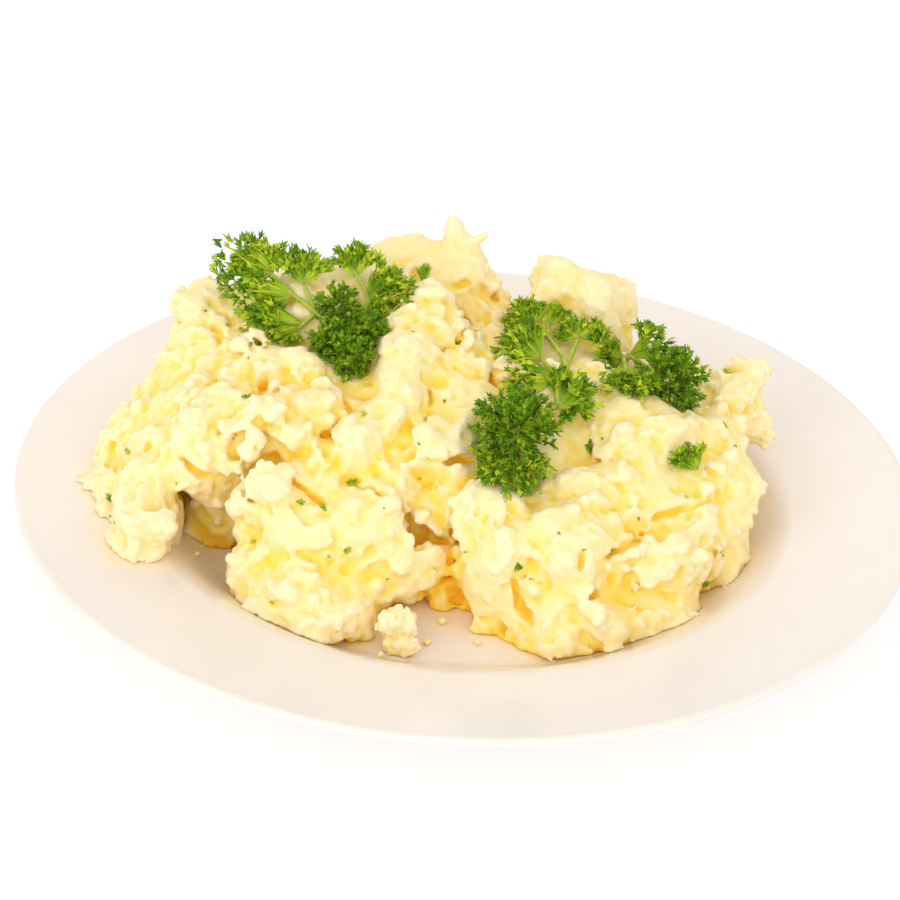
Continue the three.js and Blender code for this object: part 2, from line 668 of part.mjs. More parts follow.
const leafCutter = solidOf(skinOf(
  (x, y, z) => mashDistance(x, y, z) - LEAF_GAP, MASH_LOW, MASH_HIGH, MASH_CELL,
)).add(plateCutter);

for (const [name, { facing, stems, fronds, tufts }] of Object.entries(SPRIGS)) {
  const pieces = [
    ...stems.flatMap((route) => route.slice(1).map((to, i) => stem(lifted(route[i]), lifted(to)))),
    ...fronds.map(([foot, tip, spread]) => frond(lifted(foot), lifted(tip), spread, facing)),
    ...tufts.flatMap(({ heart, reach, count }) => (
      tuft({ heart: lifted(heart, STEM_LIFT + HEART_LIFT * reach), reach, count }, facing))),
  ];
  addPart(name, geometryOf(largest(joined(pieces).subtract(leafCutter))), leafGreen);
}

export default dish;
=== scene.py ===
import math

import bpy
import numpy as np
from mathutils import Matrix, Vector


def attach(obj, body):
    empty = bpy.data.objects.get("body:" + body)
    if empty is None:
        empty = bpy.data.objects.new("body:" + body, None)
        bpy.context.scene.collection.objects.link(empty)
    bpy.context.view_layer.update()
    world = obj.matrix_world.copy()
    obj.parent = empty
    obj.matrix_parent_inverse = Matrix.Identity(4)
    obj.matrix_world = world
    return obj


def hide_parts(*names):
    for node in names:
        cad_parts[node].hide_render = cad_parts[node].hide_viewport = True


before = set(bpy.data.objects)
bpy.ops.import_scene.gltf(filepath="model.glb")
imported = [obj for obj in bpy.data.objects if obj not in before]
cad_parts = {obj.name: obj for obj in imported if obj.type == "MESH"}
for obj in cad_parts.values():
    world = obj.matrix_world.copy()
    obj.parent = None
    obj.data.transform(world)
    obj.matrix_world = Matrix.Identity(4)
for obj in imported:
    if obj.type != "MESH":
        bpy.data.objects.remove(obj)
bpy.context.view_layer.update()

# ----------------------------------------
# Camera and light. A long lens looks down on the eater's side of the plate from 31 degrees. Soft
# white light comes from all round and from large panels at both sides, in front and behind.
# ----------------------------------------

CAMERA_PLACE = (0.0, -0.5700, 0.3645)
CAMERA_AIM = (-0.0070, 0.8607, -0.5090)
CAMERA_UP = (-0.0566, 0.5079, 0.8596)
LENS = 96.0  # mm, on a sensor 36 mm wide

MM = 0.001
scene = bpy.context.scene
rng = np.random.default_rng(7)


def link(name, data):
    """Adds an object to the scene."""
    piece = bpy.data.objects.new(name, data)
    scene.collection.objects.link(piece)
    return piece


lens = bpy.data.cameras.new("camera")
lens.lens = LENS
lens.sensor_width = 36.0
lens.clip_start = 0.01
camera = link("camera", lens)
aim = Vector(CAMERA_AIM).normalized()
right = aim.cross(Vector(CAMERA_UP)).normalized()
camera.matrix_world = Matrix.Translation(CAMERA_PLACE) @ Matrix(
    (right, right.cross(aim), -aim)).transposed().to_4x4()
scene.camera = camera
scene.view_settings.view_transform = "Standard"


HEAP_MIDDLE = (0, 0, 0.03)


def panel(name, place, size, watts):
    """A square panel of white light that faces the heap."""
    light = bpy.data.lights.new(name, "AREA")
    light.size = size
    light.energy = watts
    lamp = link(name, light)
    lamp.location = place
    lamp.rotation_euler = (Vector(HEAP_MIDDLE) - lamp.location).to_track_quat("-Z", "Y").to_euler()


panel("left_panel", (-0.80, -0.45, 0.45), 0.9, 1.5)
panel("front_panel", (-0.25, -1.05, 0.48), 1.2, 5.2)
panel("right_panel", (0.80, -0.45, 0.55), 1.0, 1.1)
panel("back_panel", (-0.1, 0.9, 0.9), 0.7, 1.0)
world = bpy.data.worlds.new("studio")
scene.world = world
world.use_nodes = True
all_round = world.node_tree.nodes["Background"]
all_round.inputs["Color"].default_value = (1.0, 0.985, 0.97, 1.0)
all_round.inputs["Strength"].default_value = 0.90


def linear(hex_colour):
    """An sRGB hex colour as the linear red, green, blue and alpha that a shader takes."""
    parts = [int(hex_colour[i:i + 2], 16) / 255 for i in (1, 3, 5)]
    return tuple(c / 12.92 if c <= 0.04045 else ((c + 0.055) / 1.055) ** 2.4 for c in parts) + (1.0,)


MIX_SHARE, MIX_A, MIX_B, MIX_COLOUR = 0, 6, 7, 2  # a colour Mix node's inputs and its output


def add(tree, kind, settings=None, links=None):
    """Adds a node. Settings are input values by name or number, or properties; links plug sockets in."""
    node = tree.nodes.new(kind)
    for key, value in (settings or {}).items():
        if isinstance(key, int) or key in node.inputs:
            node.inputs[key].default_value = value
        else:
            setattr(node, key, value)
    for key, source in (links or {}).items():
        tree.links.new(source, node.inputs[key])
    return node


def ramp(tree, source, *stops):
    """A colour for each value: stops are pairs of a value from 0 to 1 and an sRGB hex colour."""
    node = add(tree, "ShaderNodeValToRGB", {}, {"Fac": source})
    while len(node.color_ramp.elements) < len(stops):
        node.color_ramp.elements.new(0.5)
    for element, (value, colour) in zip(node.color_ramp.elements, stops):
        element.position = value
        element.color = linear(colour)
    return node.outputs["Color"]


def new_material(name, settings):
    """A material, its node tree and its shader. Settings are the shader's values by socket name."""
    material = bpy.data.materials.new(name)
    material.use_nodes = True
    shader = material.node_tree.nodes["Principled BSDF"]
    for key, value in settings.items():
        shader.inputs[key].default_value = value
    return material, material.node_tree, shader


# Table: a sheet of opal glass lit from below, so that hardly a shadow falls on it.
TABLE_HALF = 3.0  # m
table_glass, tree, shader = new_material("lit_opal_glass", {
    "Base Color": linear("#A8A8A8"), "Roughness": 0.9, "Specular IOR Level": 0.1,
    "Emission Color": (1.0, 1.0, 1.0, 1.0), "Emission Strength": 0.62})
board = bpy.data.meshes.new("table")
corners = [(x * TABLE_HALF, y * TABLE_HALF, 0) for x, y in ((-1, -1), (1, -1), (1, 1), (-1, 1))]
board.from_pydata(corners, [], [(0, 1, 2, 3)])
board.materials.append(table_glass)
link("table", board)

# ----------------------------------------
# Plate: a round dinner plate, 247 mm across, of jiggered stoneware dipped in clear white glaze.
# It has a flat well, an eased shoulder, a wide rim and a plain foot ring.
# ----------------------------------------

PLATE_R = 123.5
RIM_Z = 22.0
WELL_R = 70.0
WELL_Z = 6.5
SHOULDER_R = 92.0
SHOULDER_Z = 17.5
WELL_WALL = 4.3
RIM_WALL = 2.2
LIP_R = 1.0
FOOT_IN, FOOT_OUT = 62.0, 67.0
FOOT_EASE_IN, FOOT_EASE_OUT = 1.5, 2.0
PLATE_SIDES = 256
WELL_RING = 1.5  # between the rings of the well's skin, which carry the painted bounce glow and the smears' tint


def plate_top(r):
    """Height of the plate's upper face, in mm, at a distance from its middle."""
    t = np.clip((r - WELL_R) / (SHOULDER_R - WELL_R), 0, 1)
    rise = np.clip((r - SHOULDER_R) / (PLATE_R - SHOULDER_R), 0, None)
    return WELL_Z + (SHOULDER_Z - WELL_Z) * t * t * (3 - 2 * t) + (RIM_Z - SHOULDER_Z) * rise


under = WELL_Z - WELL_WALL
rim_under = RIM_Z - RIM_WALL
lip = [(PLATE_R - LIP_R + LIP_R * math.cos(a), RIM_Z - LIP_R + LIP_R * math.sin(a))
       for a in np.linspace(0, math.pi / 2, 6)]
lower_lip = [(PLATE_R - LIP_R + LIP_R * math.cos(a), rim_under + LIP_R + LIP_R * math.sin(a))
             for a in np.linspace(-math.pi / 2, 0, 6)]
skirt = FOOT_OUT + FOOT_EASE_OUT
profile = [(0, under), (30, under), (FOOT_IN - FOOT_EASE_IN, under), (FOOT_IN, 0), (FOOT_OUT, 0),
           (skirt, under)]
profile += [(r, under + (rim_under - under) * ((r - skirt) / (PLATE_R - LIP_R - skirt)) ** 0.8)
            for r in np.linspace(74, 119, 9)]
profile += lower_lip + lip
profile += [(r, float(plate_top(r))) for r in np.linspace(PLATE_R - LIP_R - 1.5, WELL_R - 2, 44)]
profile += [(r, WELL_Z) for r in np.arange(66.5, 8, -WELL_RING)] + [(0, WELL_Z)]
turns = np.arange(PLATE_SIDES) * 2 * math.pi / PLATE_SIDES
ring = np.array(profile[1:-1])
points = np.stack([np.outer(np.cos(turns), ring[:, 0]), np.outer(np.sin(turns), ring[:, 0]),
                   np.tile(ring[:, 1], (PLATE_SIDES, 1))], -1).reshape(-1, 3)
verts = [tuple(p * MM) for p in points] + [(0, 0, profile[0][1] * MM), (0, 0, profile[-1][1] * MM)]
steps = len(ring)
faces = []
for side in range(PLATE_SIDES):
    here, there = side * steps, (side + 1) % PLATE_SIDES * steps
    faces += [(here + i, there + i, there + i + 1, here + i + 1) for i in range(steps - 1)]
    faces.append((len(points), there, here))
    faces.append((here + steps - 1, there + steps - 1, len(points) + 1))
plate_mesh = bpy.data.meshes.new("plate_glazed")
plate_mesh.from_pydata(verts, [], faces)
for face in plate_mesh.polygons:
    face.use_smooth = True

# White glazed stoneware: a clear gloss over a warm white body, with the faint ripple of a dipped
# glaze and tiny shade changes where it ran thicker. Near the heap's foot it is painted yellow, a painted
# reflection of the light the heap bounces onto it, and thin smears of mash tint it too.
glaze, tree, shader = new_material("white_glazed_stoneware", {"Roughness": 0.16, "IOR": 1.5})
where = add(tree, "ShaderNodeTexCoord")
pools = add(tree, "ShaderNodeTexNoise", {"Scale": 1 / (35 * MM), "Detail": 3.0},
            {"Vector": where.outputs["Object"]})
shade = ramp(tree, pools.outputs["Fac"], (0.3, "#EAE0D6"), (0.7, "#EFE6DD"))
glow_smear_in = add(tree, "ShaderNodeAttribute", {"attribute_name": "bounce_glow_and_smears"})
glow_smear_mix = add(tree, "ShaderNodeMix", {"data_type": "RGBA", MIX_B: linear("#FEE7AE")},
            {MIX_SHARE: glow_smear_in.outputs["Fac"], MIX_A: shade})
tree.links.new(glow_smear_mix.outputs[MIX_COLOUR], shader.inputs["Base Color"])
ripple = add(tree, "ShaderNodeTexNoise", {"Scale": 1 / (9 * MM), "Detail": 2.0},
             {"Vector": where.outputs["Object"]})
wave = add(tree, "ShaderNodeBump", {"Strength": 0.05, "Distance": 0.2 * MM},
           {"Height": ripple.outputs["Fac"]})
tree.links.new(wave.outputs["Normal"], shader.inputs["Normal"])
plate_mesh.materials.append(glaze)
plate = link("plate_glazed", plate_mesh)
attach(plate, "root")
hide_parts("plate")

# ----------------------------------------
# Mash: boiled potato crushed with butter, heaped by the spoonful. It tore into coarse lumps and
# smeared slabs that overlap, with deep moist crevices between them.
# ----------------------------------------

CELL = 0.8  # mm, the grain to which the skin is modelled
CLEARANCE = 0.1  # mm, above the plate


def lump(middle, half, turn=0.0, dip=0.0, lean=0.0):
    """Middle and half sizes in mm; its turn about Z, dip to the front and lean aside in degrees."""
    (ct, st), (cd, sd), (cl, sl) = [(math.cos(math.radians(a)), math.sin(math.radians(a)))
                                    for a in (turn, dip, lean)]
    about_z = np.array([[ct, -st, 0], [st, ct, 0], [0, 0, 1]])
    about_x = np.array([[1, 0, 0], [0, cd, -sd], [0, sd, cd]])
    about_y = np.array([[cl, 0, sl], [0, 1, 0], [-sl, 0, cl]])
    return np.array(middle, float), np.array(half, float), about_z @ about_x @ about_y


LUMPS = {
    "core": lump((2, 8, 16), (68, 44, 38)),
    "core_left": lump((-62, 10, 14), (34, 28, 24)),
    "left_foot": lump((-85, -35, 23), (8, 15, 11.5), dip=22),
    "left_toe": lump((-79.5, -45.5, 20), (5, 5.5, 6), turn=25),
    "gap_lump": lump((-67.5, -17, 12), (10, 9.5, 9.5)),
    "left_end": lump((-91, -14, 18), (10, 13, 10)),
    "left_knee": lump((-85, -9, 25), (12, 12.5, 10), lean=-20),
    "left_slab": lump((-76, -8, 32), (24, 13, 9), dip=10, lean=-30),
    "left_brow": lump((-80, -19, 34), (14, 8, 6), dip=35, lean=-22),
    "left_crumble": lump((-79.5, 8, 27), (9.5, 12, 9.5)),
    "left_nub": lump((-85.5, 0, 34.5), (4, 5, 3.5)),
    "left_mound": lump((-72, 26, 38.5), (12.5, 16, 19)),
    "left_neck": lump((-60, 14, 40), (18, 14, 12), dip=20, lean=-12),
    "left_apron": lump((-64, -20, 36), (10, 12, 14), dip=10),
    "apron_front": lump((-68, -27, 32), (8, 5, 9)),
    "apron_tongue": lump((-57, -25, 41), (5.5, 7, 13), dip=30, lean=22),
    "slope_high": lump((-69, 9, 41), (17, 10, 6), dip=30, lean=-24),
    "slope_low": lump((-80.5, -6, 35), (11, 9, 5.5), dip=30, lean=-30),
    "slope_right": lump((-50, -5, 47), (13, 12, 6), dip=40),
    "slope_rim": lump((-59, 14, 50), (7, 9, 8), dip=25),
    "mid_slab": lump((-42, -8, 38), (19, 17, 13), dip=25),
    "mid_lap": lump((-42, -20, 33), (14, 11, 12)),
    "mid_face": lump((-44, -20, 43), (9, 13, 6), turn=8, dip=50),
    "back_ridge": lump((-42, 32, 42), (26, 20, 22)),
    "column": lump((-20, -15.5, 41.5), (8.5, 26, 12), dip=34),
    "column_side": lump((-27, -26, 40), (6, 11, 12), dip=20),
    "column_foot": lump((-17, -33, 35), (7, 8, 8)),
    "brow": lump((-14, 12, 45), (14, 18, 17), dip=20),
    "brow_front": lump((-10, 16, 59), (9, 8, 6), dip=30),
    "brow_right": lump((-3, -6, 42), (8, 17, 12), dip=30),
    "tongue": lump((-5, -25, 37), (10, 10, 12)),
    "tongue_tip": lump((-4, -33, 27), (8, 8, 9)),
    "front_ball": lump((-32, -40, 21), (21, 18, 17)),
    "front_slope": lump((-36, -31, 32), (15, 12, 8), dip=32),
    "front_cheek": lump((-50, -34, 25), (10, 12, 14)),
    "front_bump": lump((-48, -39, 34), (7, 7, 11), dip=15),
    "front_jaw": lump((-16, -40, 22), (14, 14, 13)),
    "front_shelf": lump((-20, -45, 34), (9, 7, 4.5), turn=-8, dip=12),
    "front_nose": lump((-13, -45, 21), (9, 9, 8), turn=20),
    "front_toe": lump((-36, -51, 12), (18, 18, 9)),
    "front_heel": lump((-48, -46, 14), (10, 11, 9)),
    "mouth_lobe": lump((-2.5, -34, 12), (9, 8.5, 11)),
    "right_post": lump((12, -44, 20), (10, 17, 18)),
    "right_post_top": lump((10, -39, 35), (9, 8, 8)),
    "right_ball": lump((27, -43, 20), (17, 17, 15)),
    "right_brow": lump((27, -46, 28), (15, 8, 10), dip=25),
    "right_cheek": lump((48, -37, 19), (17, 17, 16)),
    "right_side": lump((62, -20, 20), (14, 16, 15)),
    "right_toe": lump((32, -53, 11), (15, 16, 9)),
    "right_sole": lump((50, -42, 12), (14, 14, 9)),
    "right_slab": lump((52, -22, 35), (26, 15, 6.5), turn=33, dip=26),
    "right_step": lump((60, -33, 27), (9, 8, 8)),
    "right_lump_a": lump((44, -3, 37), (12, 11, 9), dip=20),
    "right_lump_b": lump((61, -3, 35), (11, 11, 9), dip=20),
    "right_lump_c": lump((33, -14, 35), (10, 12, 9), dip=20),
    "right_lump_d": lump((18, -10, 36), (14, 16, 12), dip=20),
    "right_rise": lump((30, -34, 34), (13, 9, 7), dip=30),
    "right_knob_a": lump((39, -7, 43), (6, 6, 6)),
    "right_knob_b": lump((47, -8, 42), (6, 6, 5.5)),
    "right_knob_c": lump((53, -15, 42), (5, 5, 5)),
    "saddle": lump((5, 6, 40), (10, 16, 13), dip=20),
    "saddle_back": lump((4, 20, 43), (10, 13, 13)),
    "saddle_knob": lump((5, 38, 50), (7, 9, 8)),
    "right_back": lump((56, 18, 32), (20, 20, 14)),
    "ear": lump((74, 18, 38.5), (10, 9, 8.5)),
    "ear_tip": lump((79.5, 12, 33), (6.5, 7, 6), lean=-15),
    "crest": lump((-8.5, 42, 52), (12.5, 13, 16)),
    "crest_left": lump((-22, 46, 53), (12, 11, 14)),
    "crest_top": lump((-4, 42, 65), (5.5, 7, 4.5)),
    "crest_tip": lump((-8.7, 43, 69), (2.3, 2.8, 6.5)),
    "crest_cap": lump((-8.9, 43, 73.2), (2.3, 2.8, 2.6)),
    "crest_horn": lump((-3.6, 42, 70.3), (6.8, 2.2, 1.3), lean=-44),
    "knob": lump((20.5, 40, 50), (9, 12, 14)),
    "knob_tip": lump((22, 42, 61), (4.2, 5, 6)),
    "dome": lump((33.5, 38, 48), (12, 13, 15)),
}
HOLLOWS = {
    "under_apron": lump((-66, -39, 11), (11, 12, 9)),
    "split_left": lump((-52, -34, 37), (3.5, 9, 11), lean=25),
    "mouth": lump((-2, -51, 10), (9, 8, 7)),
    "throat": lump((-12, -44, 26), (3, 5, 6), lean=20),
    "under_slab": lump((60, -40, 36), (18, 5, 3.5), turn=30, lean=-12),
}
SQUARE = 2.5  # how boxy a lump is: 2 is an ellipsoid
BLEND = 4.0  # mm, how softly one lump runs into the next
CREASE = 1.2  # mm, how softly a hollow's edge is rounded
FAR = 60.0  # mm, the distance kept where no lump is near
SKIN_BAND = 7.0  # mm, how far from the skin its roughness is worked out


def soft_min(a, b, softness):
    h = np.maximum(softness - np.abs(a - b), 0) / softness
    return np.minimum(a, b) - h * h * softness / 4


def lump_distance(p, one):
    """Distance in mm from points (..., 3) to a lump's skin, negative inside."""
    middle, half, pose = one
    q = np.abs((p - middle) @ pose) / half
    reach = (q ** SQUARE).sum(-1) ** (1 / SQUARE)
    slope = np.sqrt(((q ** (SQUARE - 1) / half) ** 2).sum(-1)) + 1e-9
    return (reach - 1) * reach ** (SQUARE - 1) / slope


def wobble(p):
    """The slow shift that keeps the lumps from being true ellipsoids."""
    slow, quick = 2.0, 0.8
    x, y, z = p[..., 0], p[..., 1], p[..., 2]
    sin = np.sin
    return p + np.stack([
        slow * sin(y / 9 + 1.3 * sin(z / 13 + 0.5) + 0.3) + quick * sin(z / 3.7 + y / 5.1),
        slow * sin(z / 8 + 1.1 * sin(x / 15) + 1.9) + quick * sin(x / 4.1 + z / 4.9 + 0.7),
        slow * 0.7 * sin(x / 10 + 1.2 * sin(y / 12) + 0.9) + quick * sin(y / 3.9 + x / 5.3 + 2.1),
    ], -1)


# The grid that holds the distance to the skin, in mm, at a place every CELL mm: negative inside.
low = np.array([-113.0, -77.0, 3.0])
high = np.array([98.0, 70.0, 84.0])
count = np.ceil((high - low) / CELL).astype(int) + 1
axes = [low[a] + CELL * np.arange(count[a]) for a in range(3)]
grid = np.stack(np.meshgrid(*[a.astype(np.float32) for a in axes], indexing="ij"), -1)
warped = wobble(grid).astype(np.float32)
field = np.full(count, FAR, np.float32)


def block_round(one, margin):
    """The part of the grid that a lump can reach."""
    middle, half, pose = one
    reach = np.sqrt(((pose * half) ** 2).sum(1)) + margin
    lowest = np.maximum(0, ((middle - reach - low) / CELL).astype(int))
    highest = np.minimum(count, ((middle + reach - low) / CELL).astype(int) + 2)
    return tuple(slice(a, b) for a, b in zip(lowest, highest))


for one in LUMPS.values():
    block = block_round(one, 8)
    field[block] = soft_min(field[block], lump_distance(warped[block], one), BLEND)
for one in HOLLOWS.values():
    block = block_round(one, 6)
    field[block] = -soft_min(-field[block], lump_distance(warped[block], one), CREASE)


def hashed(cell, salt):
    """One number from 0 to 1 for each whole grid place, the same on every run."""
    i, j, k = [cell[..., a].astype(np.int64).astype(np.uint32) for a in range(3)]
    h = (i * np.uint32(374761393)) ^ (j * np.uint32(668265263)) ^ (k * np.uint32(2246822519))
    h = (h ^ np.uint32(salt * 40503 + 12345)) * np.uint32(2246822519)
    h = (h ^ (h >> np.uint32(13))) * np.uint32(3266489917)
    return ((h ^ (h >> np.uint32(16))) / 4294967296.0).astype(np.float32)


def noise(p, size, salt):
    """Smooth noise from -1 to 1 whose bumps are about size mm across."""
    cell = np.floor(p / size)
    f = (p / size - cell).astype(np.float32)
    f = f * f * (3 - 2 * f)
    total = 0
    for corner in np.ndindex(2, 2, 2):
        weight = np.prod(np.where(np.array(corner) == 1, f, 1 - f), -1)
        total = total + weight * hashed(cell + corner, salt)
    return total * 2 - 1


def shifts(p, size, salt):
    """Three such noises, to shift points by along X, Y and Z."""
    return np.stack([noise(p, size, salt + n) for n in range(3)], -1)


def grains(p, size, salt):
    """Distance to the nearest grain's middle, in grain sizes, for grains about size mm across."""
    cell = np.floor(p / size)
    f = (p / size - cell).astype(np.float32)
    nearest = np.full(p.shape[:-1], 9.0, np.float32)
    for near in np.ndindex(3, 3, 3):
        step = np.array(near) - 1
        away = [step[a] + hashed(cell + step, salt + a) - f[..., a] for a in range(3)]
        nearest = np.minimum(nearest, away[0] ** 2 + away[1] ** 2 + away[2] ** 2)
    return np.sqrt(nearest)


def blurred(values, reach):
    """The values averaged over a cube that reaches so many cells each way, twice over."""
    for axis in range(3):
        for _ in range(2):
            edge = [(reach + 1, reach) if a == axis else (0, 0) for a in range(3)]
            total = np.cumsum(np.pad(values, edge, mode="edge"), axis=axis, dtype=np.float64)
            ahead = [slice(2 * reach + 1, None) if a == axis else slice(None) for a in range(3)]
            behind = [slice(0, -2 * reach - 1) if a == axis else slice(None) for a in range(3)]
            values = ((total[tuple(ahead)] - total[tuple(behind)]) / (2 * reach + 1)).astype(np.float32)
    return values


def sampled(values, points, origin, cell):
    """The values of a grid at points in mm."""
    at = np.clip((points - origin) / cell, 0, np.array(values.shape) - 1.001)
    corner_cell = np.floor(at).astype(int)
    f = at - corner_cell
    total = 0
    for corner in np.ndindex(2, 2, 2):
        weight = np.prod(np.where(np.array(corner) == 1, f, 1 - f), -1)
        total = total + weight * values[tuple(np.moveaxis(corner_cell + corner, -1, 0))]
    return total


# Smooth places, with their reach in mm: the spoon smeared some, and others settled smooth.
SMEARED = [((-20, -16, 52), 13), ((-80, -24, 36), 8), ((57, -12, 44), 8), ((11, -40, 42), 12),
           ((14, -20, 46), 11), ((-36, 4, 52), 12), ((52, 8, 46), 12), ((57, -20, 42), 6),
           ((76, 18, 42), 7), ((30, 38, 60), 8)]


def smeared(p):
    return sum(np.exp(-((p - place) ** 2).sum(-1) / reach ** 2) for place, reach in SMEARED)


def crumbly(p):
    """1 where the mash tore, and near 0 where it was smeared smooth."""
    return np.clip(noise(p, 19.0, 3) * 1.4 + 0.75 - smeared(p), 0.1, 1)


def slope_at(points):
    """The field's outward slope at points in mm, as unit vectors."""
    step = CELL * np.eye(3)
    slope = np.stack([sampled(field, points + e, low, CELL) - sampled(field, points - e, low, CELL)
                      for e in step], -1)
    return slope / np.maximum(np.linalg.norm(slope, axis=-1, keepdims=True), 1e-6)


def onto_skin(points):
    """Points moved along the slope to the skin."""
    points = np.array(points, float)
    for _ in range(4):
        points = points - slope_at(points) * sampled(field, points, low, CELL)[..., None]
    return points


def turn_at_random():
    """A random pose, from a quaternion."""
    q = rng.normal(size=4)
    w, x, y, z = q / np.linalg.norm(q)
    return np.array([[1 - 2 * (y * y + z * z), 2 * (x * y - z * w), 2 * (x * z + y * w)],
                     [2 * (x * y + z * w), 1 - 2 * (x * x + z * z), 2 * (y * z - x * w)],
                     [2 * (x * z - y * w), 2 * (y * z + x * w), 1 - 2 * (x * x + y * y)]])


PEAK_Z = 66.0  # mm: the crest's thin tips above this stay as they are


def places_on_skin(number, evenly=0.15):
    """Seeded places on the skin's upper sides and its outward slope there, mostly where it is crumbly."""
    cells = np.argwhere(np.abs(field[1:-1, 1:-1, 1:-1]) < 0.6 * CELL) + 1
    height = cells[:, 2] * CELL + low[2]
    cells = cells[(height > WELL_Z + 1.5) & (height < PEAK_Z)]
    i, j, k = cells.T
    slope = np.stack([field[i + 1, j, k] - field[i - 1, j, k], field[i, j + 1, k] - field[i, j - 1, k],
                      field[i, j, k + 1] - field[i, j, k - 1]], -1)
    slope /= np.maximum(np.linalg.norm(slope, axis=1, keepdims=True), 1e-6)
    at = cells * CELL + low
    weight = (crumbly(at) + evenly) * (slope[:, 2] > -0.25) * (smeared(at) < 0.4)
    picked = rng.choice(len(cells), number, replace=False, p=weight / weight.sum())
    return at[picked], slope[picked]


# Torn slabs and flakes that overlap like scales, 8 to 20 mm across: most hang over at the lower edge.
SLABS = 110
near = np.abs(field) < SKIN_BAND
p = grid[near]
ragged = grid.copy()
ragged[near] += 0.9 * shifts(p, 5.0, 11)
ragged[near] += 0.5 * shifts(p, 2.2, 14)
for at, out in zip(*places_on_skin(SLABS, 1.0)):
    wide = rng.uniform(4.0, 10.0)
    half = np.array([wide, wide * rng.uniform(0.5, 0.9), rng.uniform(1.7, 2.6)])
    uphill = np.array([0, 0, 1]) - out * out[2]
    leant = out + rng.uniform(0.05, 0.3) * uphill + 0.1 * rng.normal(size=3)
    leant /= np.linalg.norm(leant)
    across = np.cross(leant, rng.normal(size=3))
    across /= np.linalg.norm(across)
    one = (at - out * rng.uniform(1.2, 2.1), half, np.stack([across, np.cross(leant, across), leant], 1))
    block = block_round(one, 3)
    field[block] = soft_min(field[block], lump_distance(ragged[block], one), 0.4)

# Torn layers: the skin rises and falls in small steps with ragged edges, each STEP mm high.
STEP = 1.5
LAYER_BUMPS = ((15.0, 2.2, 31), (8.0, 1.6, 32), (4.0, 1.1, 33), (2.1, 0.7, 34))  # size, depth and salt
band = np.abs(field) < SKIN_BAND
p = grid[band]
p = p + 2.0 * shifts(p, 9.0, 21)
height = sum(depth * noise(p, size, salt) for size, depth, salt in LAYER_BUMPS)
level = np.floor(height / STEP)
edge = np.clip((height / STEP - level - 0.5) / 0.3 + 0.5, 0, 1)
fade = np.clip((PEAK_Z + 4 - grid[band][:, 2]) / 10, 0.35, 1)
field[band] -= fade * (0.75 * STEP * (level + edge * edge * (3 - 2 * edge)) + 0.2 * height)

# Crevices between the slabs: points along each one on the skin, then its width and depth in mm.
CREVICES = [
    ([(-53, -32, 48), (-52, -32, 45), (-55, -34, 38)], 3.4, 8.0),
    ([(-87, -22, 38), (-79, -14, 43), (-71, -5, 46), (-63, 2, 49)], 1.8, 3.0),
    ([(-57, -9, 49), (-54, -9, 50)], 1.6, 3.0),
    ([(-74, -32, 40), (-70, -34, 37), (-67, -34, 35)], 2.4, 3.5),
    ([(-9, -35, 44), (-4, -35, 45), (2, -31, 43)], 2.2, 4.5),
    ([(-14, -47, 35), (-10, -45, 30), (-3, -43, 25)], 2.6, 5.0),
    ([(-15, -43, 37), (-12, -46, 33), (-9, -47, 29)], 3.2, 5.0),
    ([(-9, -1, 58), (-4, 6, 58), (1, 18, 55)], 1.8, 3.0),
    ([(14, -60, 23), (16, -59, 17), (19, -62, 14)], 2.4, 2.8),
    ([(18, -58, 24), (20, -58, 24)], 1.8, 3.0),
    ([(-35, -16, 50), (-32, -17, 49), (-28, -24, 52)], 1.6, 3.0),
    ([(-37, -25, 44), (-33, -34, 48), (-31, -37, 48)], 1.6, 3.0),
    ([(-45, -43, 41), (-41, -42, 37), (-37, -46, 38)], 1.8, 3.5),
    ([(-27, -41, 41), (-24, -42, 41), (-21, -44, 40)], 1.8, 3.0),
    ([(-10, -13, 54), (-10, -18, 51), (-11, -28, 50)], 1.6, 3.0),
    ([(36, -54, 31), (44, -46, 31), (51, -40, 33), (59, -34, 34), (66, -28, 33)], 1.6, 2.4),
    ([(-72, 16, 53), (-68, 11, 52), (-63, 4, 51)], 2.6, 2.5),
    ([(-5, 32, 63), (-2, 32, 62.5)], 2.4, 1.8),
    ([(29, -59, 31), (31, -58, 34)], 1.4, 3.0),
    ([(46, -44, 31), (45, -50, 29)], 1.4, 3.0),
    ([(31, -60, 22), (35, -57, 21)], 2.2, 3.0),
]
for points, width, depth in CREVICES:
    route = onto_skin(points)
    for a, b in zip(route, route[1:]):
        middle = onto_skin((a + b) / 2)
        out = slope_at(middle)
        run = (b - a) - out * ((b - a) @ out)
        long = np.linalg.norm(run)
        half = np.array([long / 2 + width / 2, width / 2, depth])
        one = (middle, half, np.stack([run / long, np.cross(out, run / long), out], 1))
        block = block_round(one, 2)
        field[block] = -soft_min(-field[block], lump_distance(ragged[block], one), 0.5)

# Crumbs stuck on, 1 to 6 mm across and mostly sunk in. Small ones are the most common.
STUCK_CRUMBS = 1500
for at, out in zip(*places_on_skin(STUCK_CRUMBS, 0.25)):
    size = 1.1 * (3.0 / 1.1) ** (rng.random() ** 1.4)
    half = size * rng.uniform(0.6, 1.1, 3)
    one = (at - out * size * rng.uniform(0.4, 0.9), half, turn_at_random())
    block = block_round(one, 3)
    field[block] = soft_min(field[block], lump_distance(ragged[block], one), 0.3)

# The grain: fine bumps with creases between them, stronger where the mash is crumbly.
GRAIN = ((3.6, 1.0, 51), (1.9, 0.7, 61))  # size and depth in mm, and salt
band = np.abs(field) < 4.0
p = grid[band]
rough = crumbly(p)
p = p + 1.2 * shifts(p, 4.0, 41)
for size, depth, salt in GRAIN:
    field[band] += (0.3 + 0.7 * rough) * depth * (grains(p, size, salt) - 0.45)

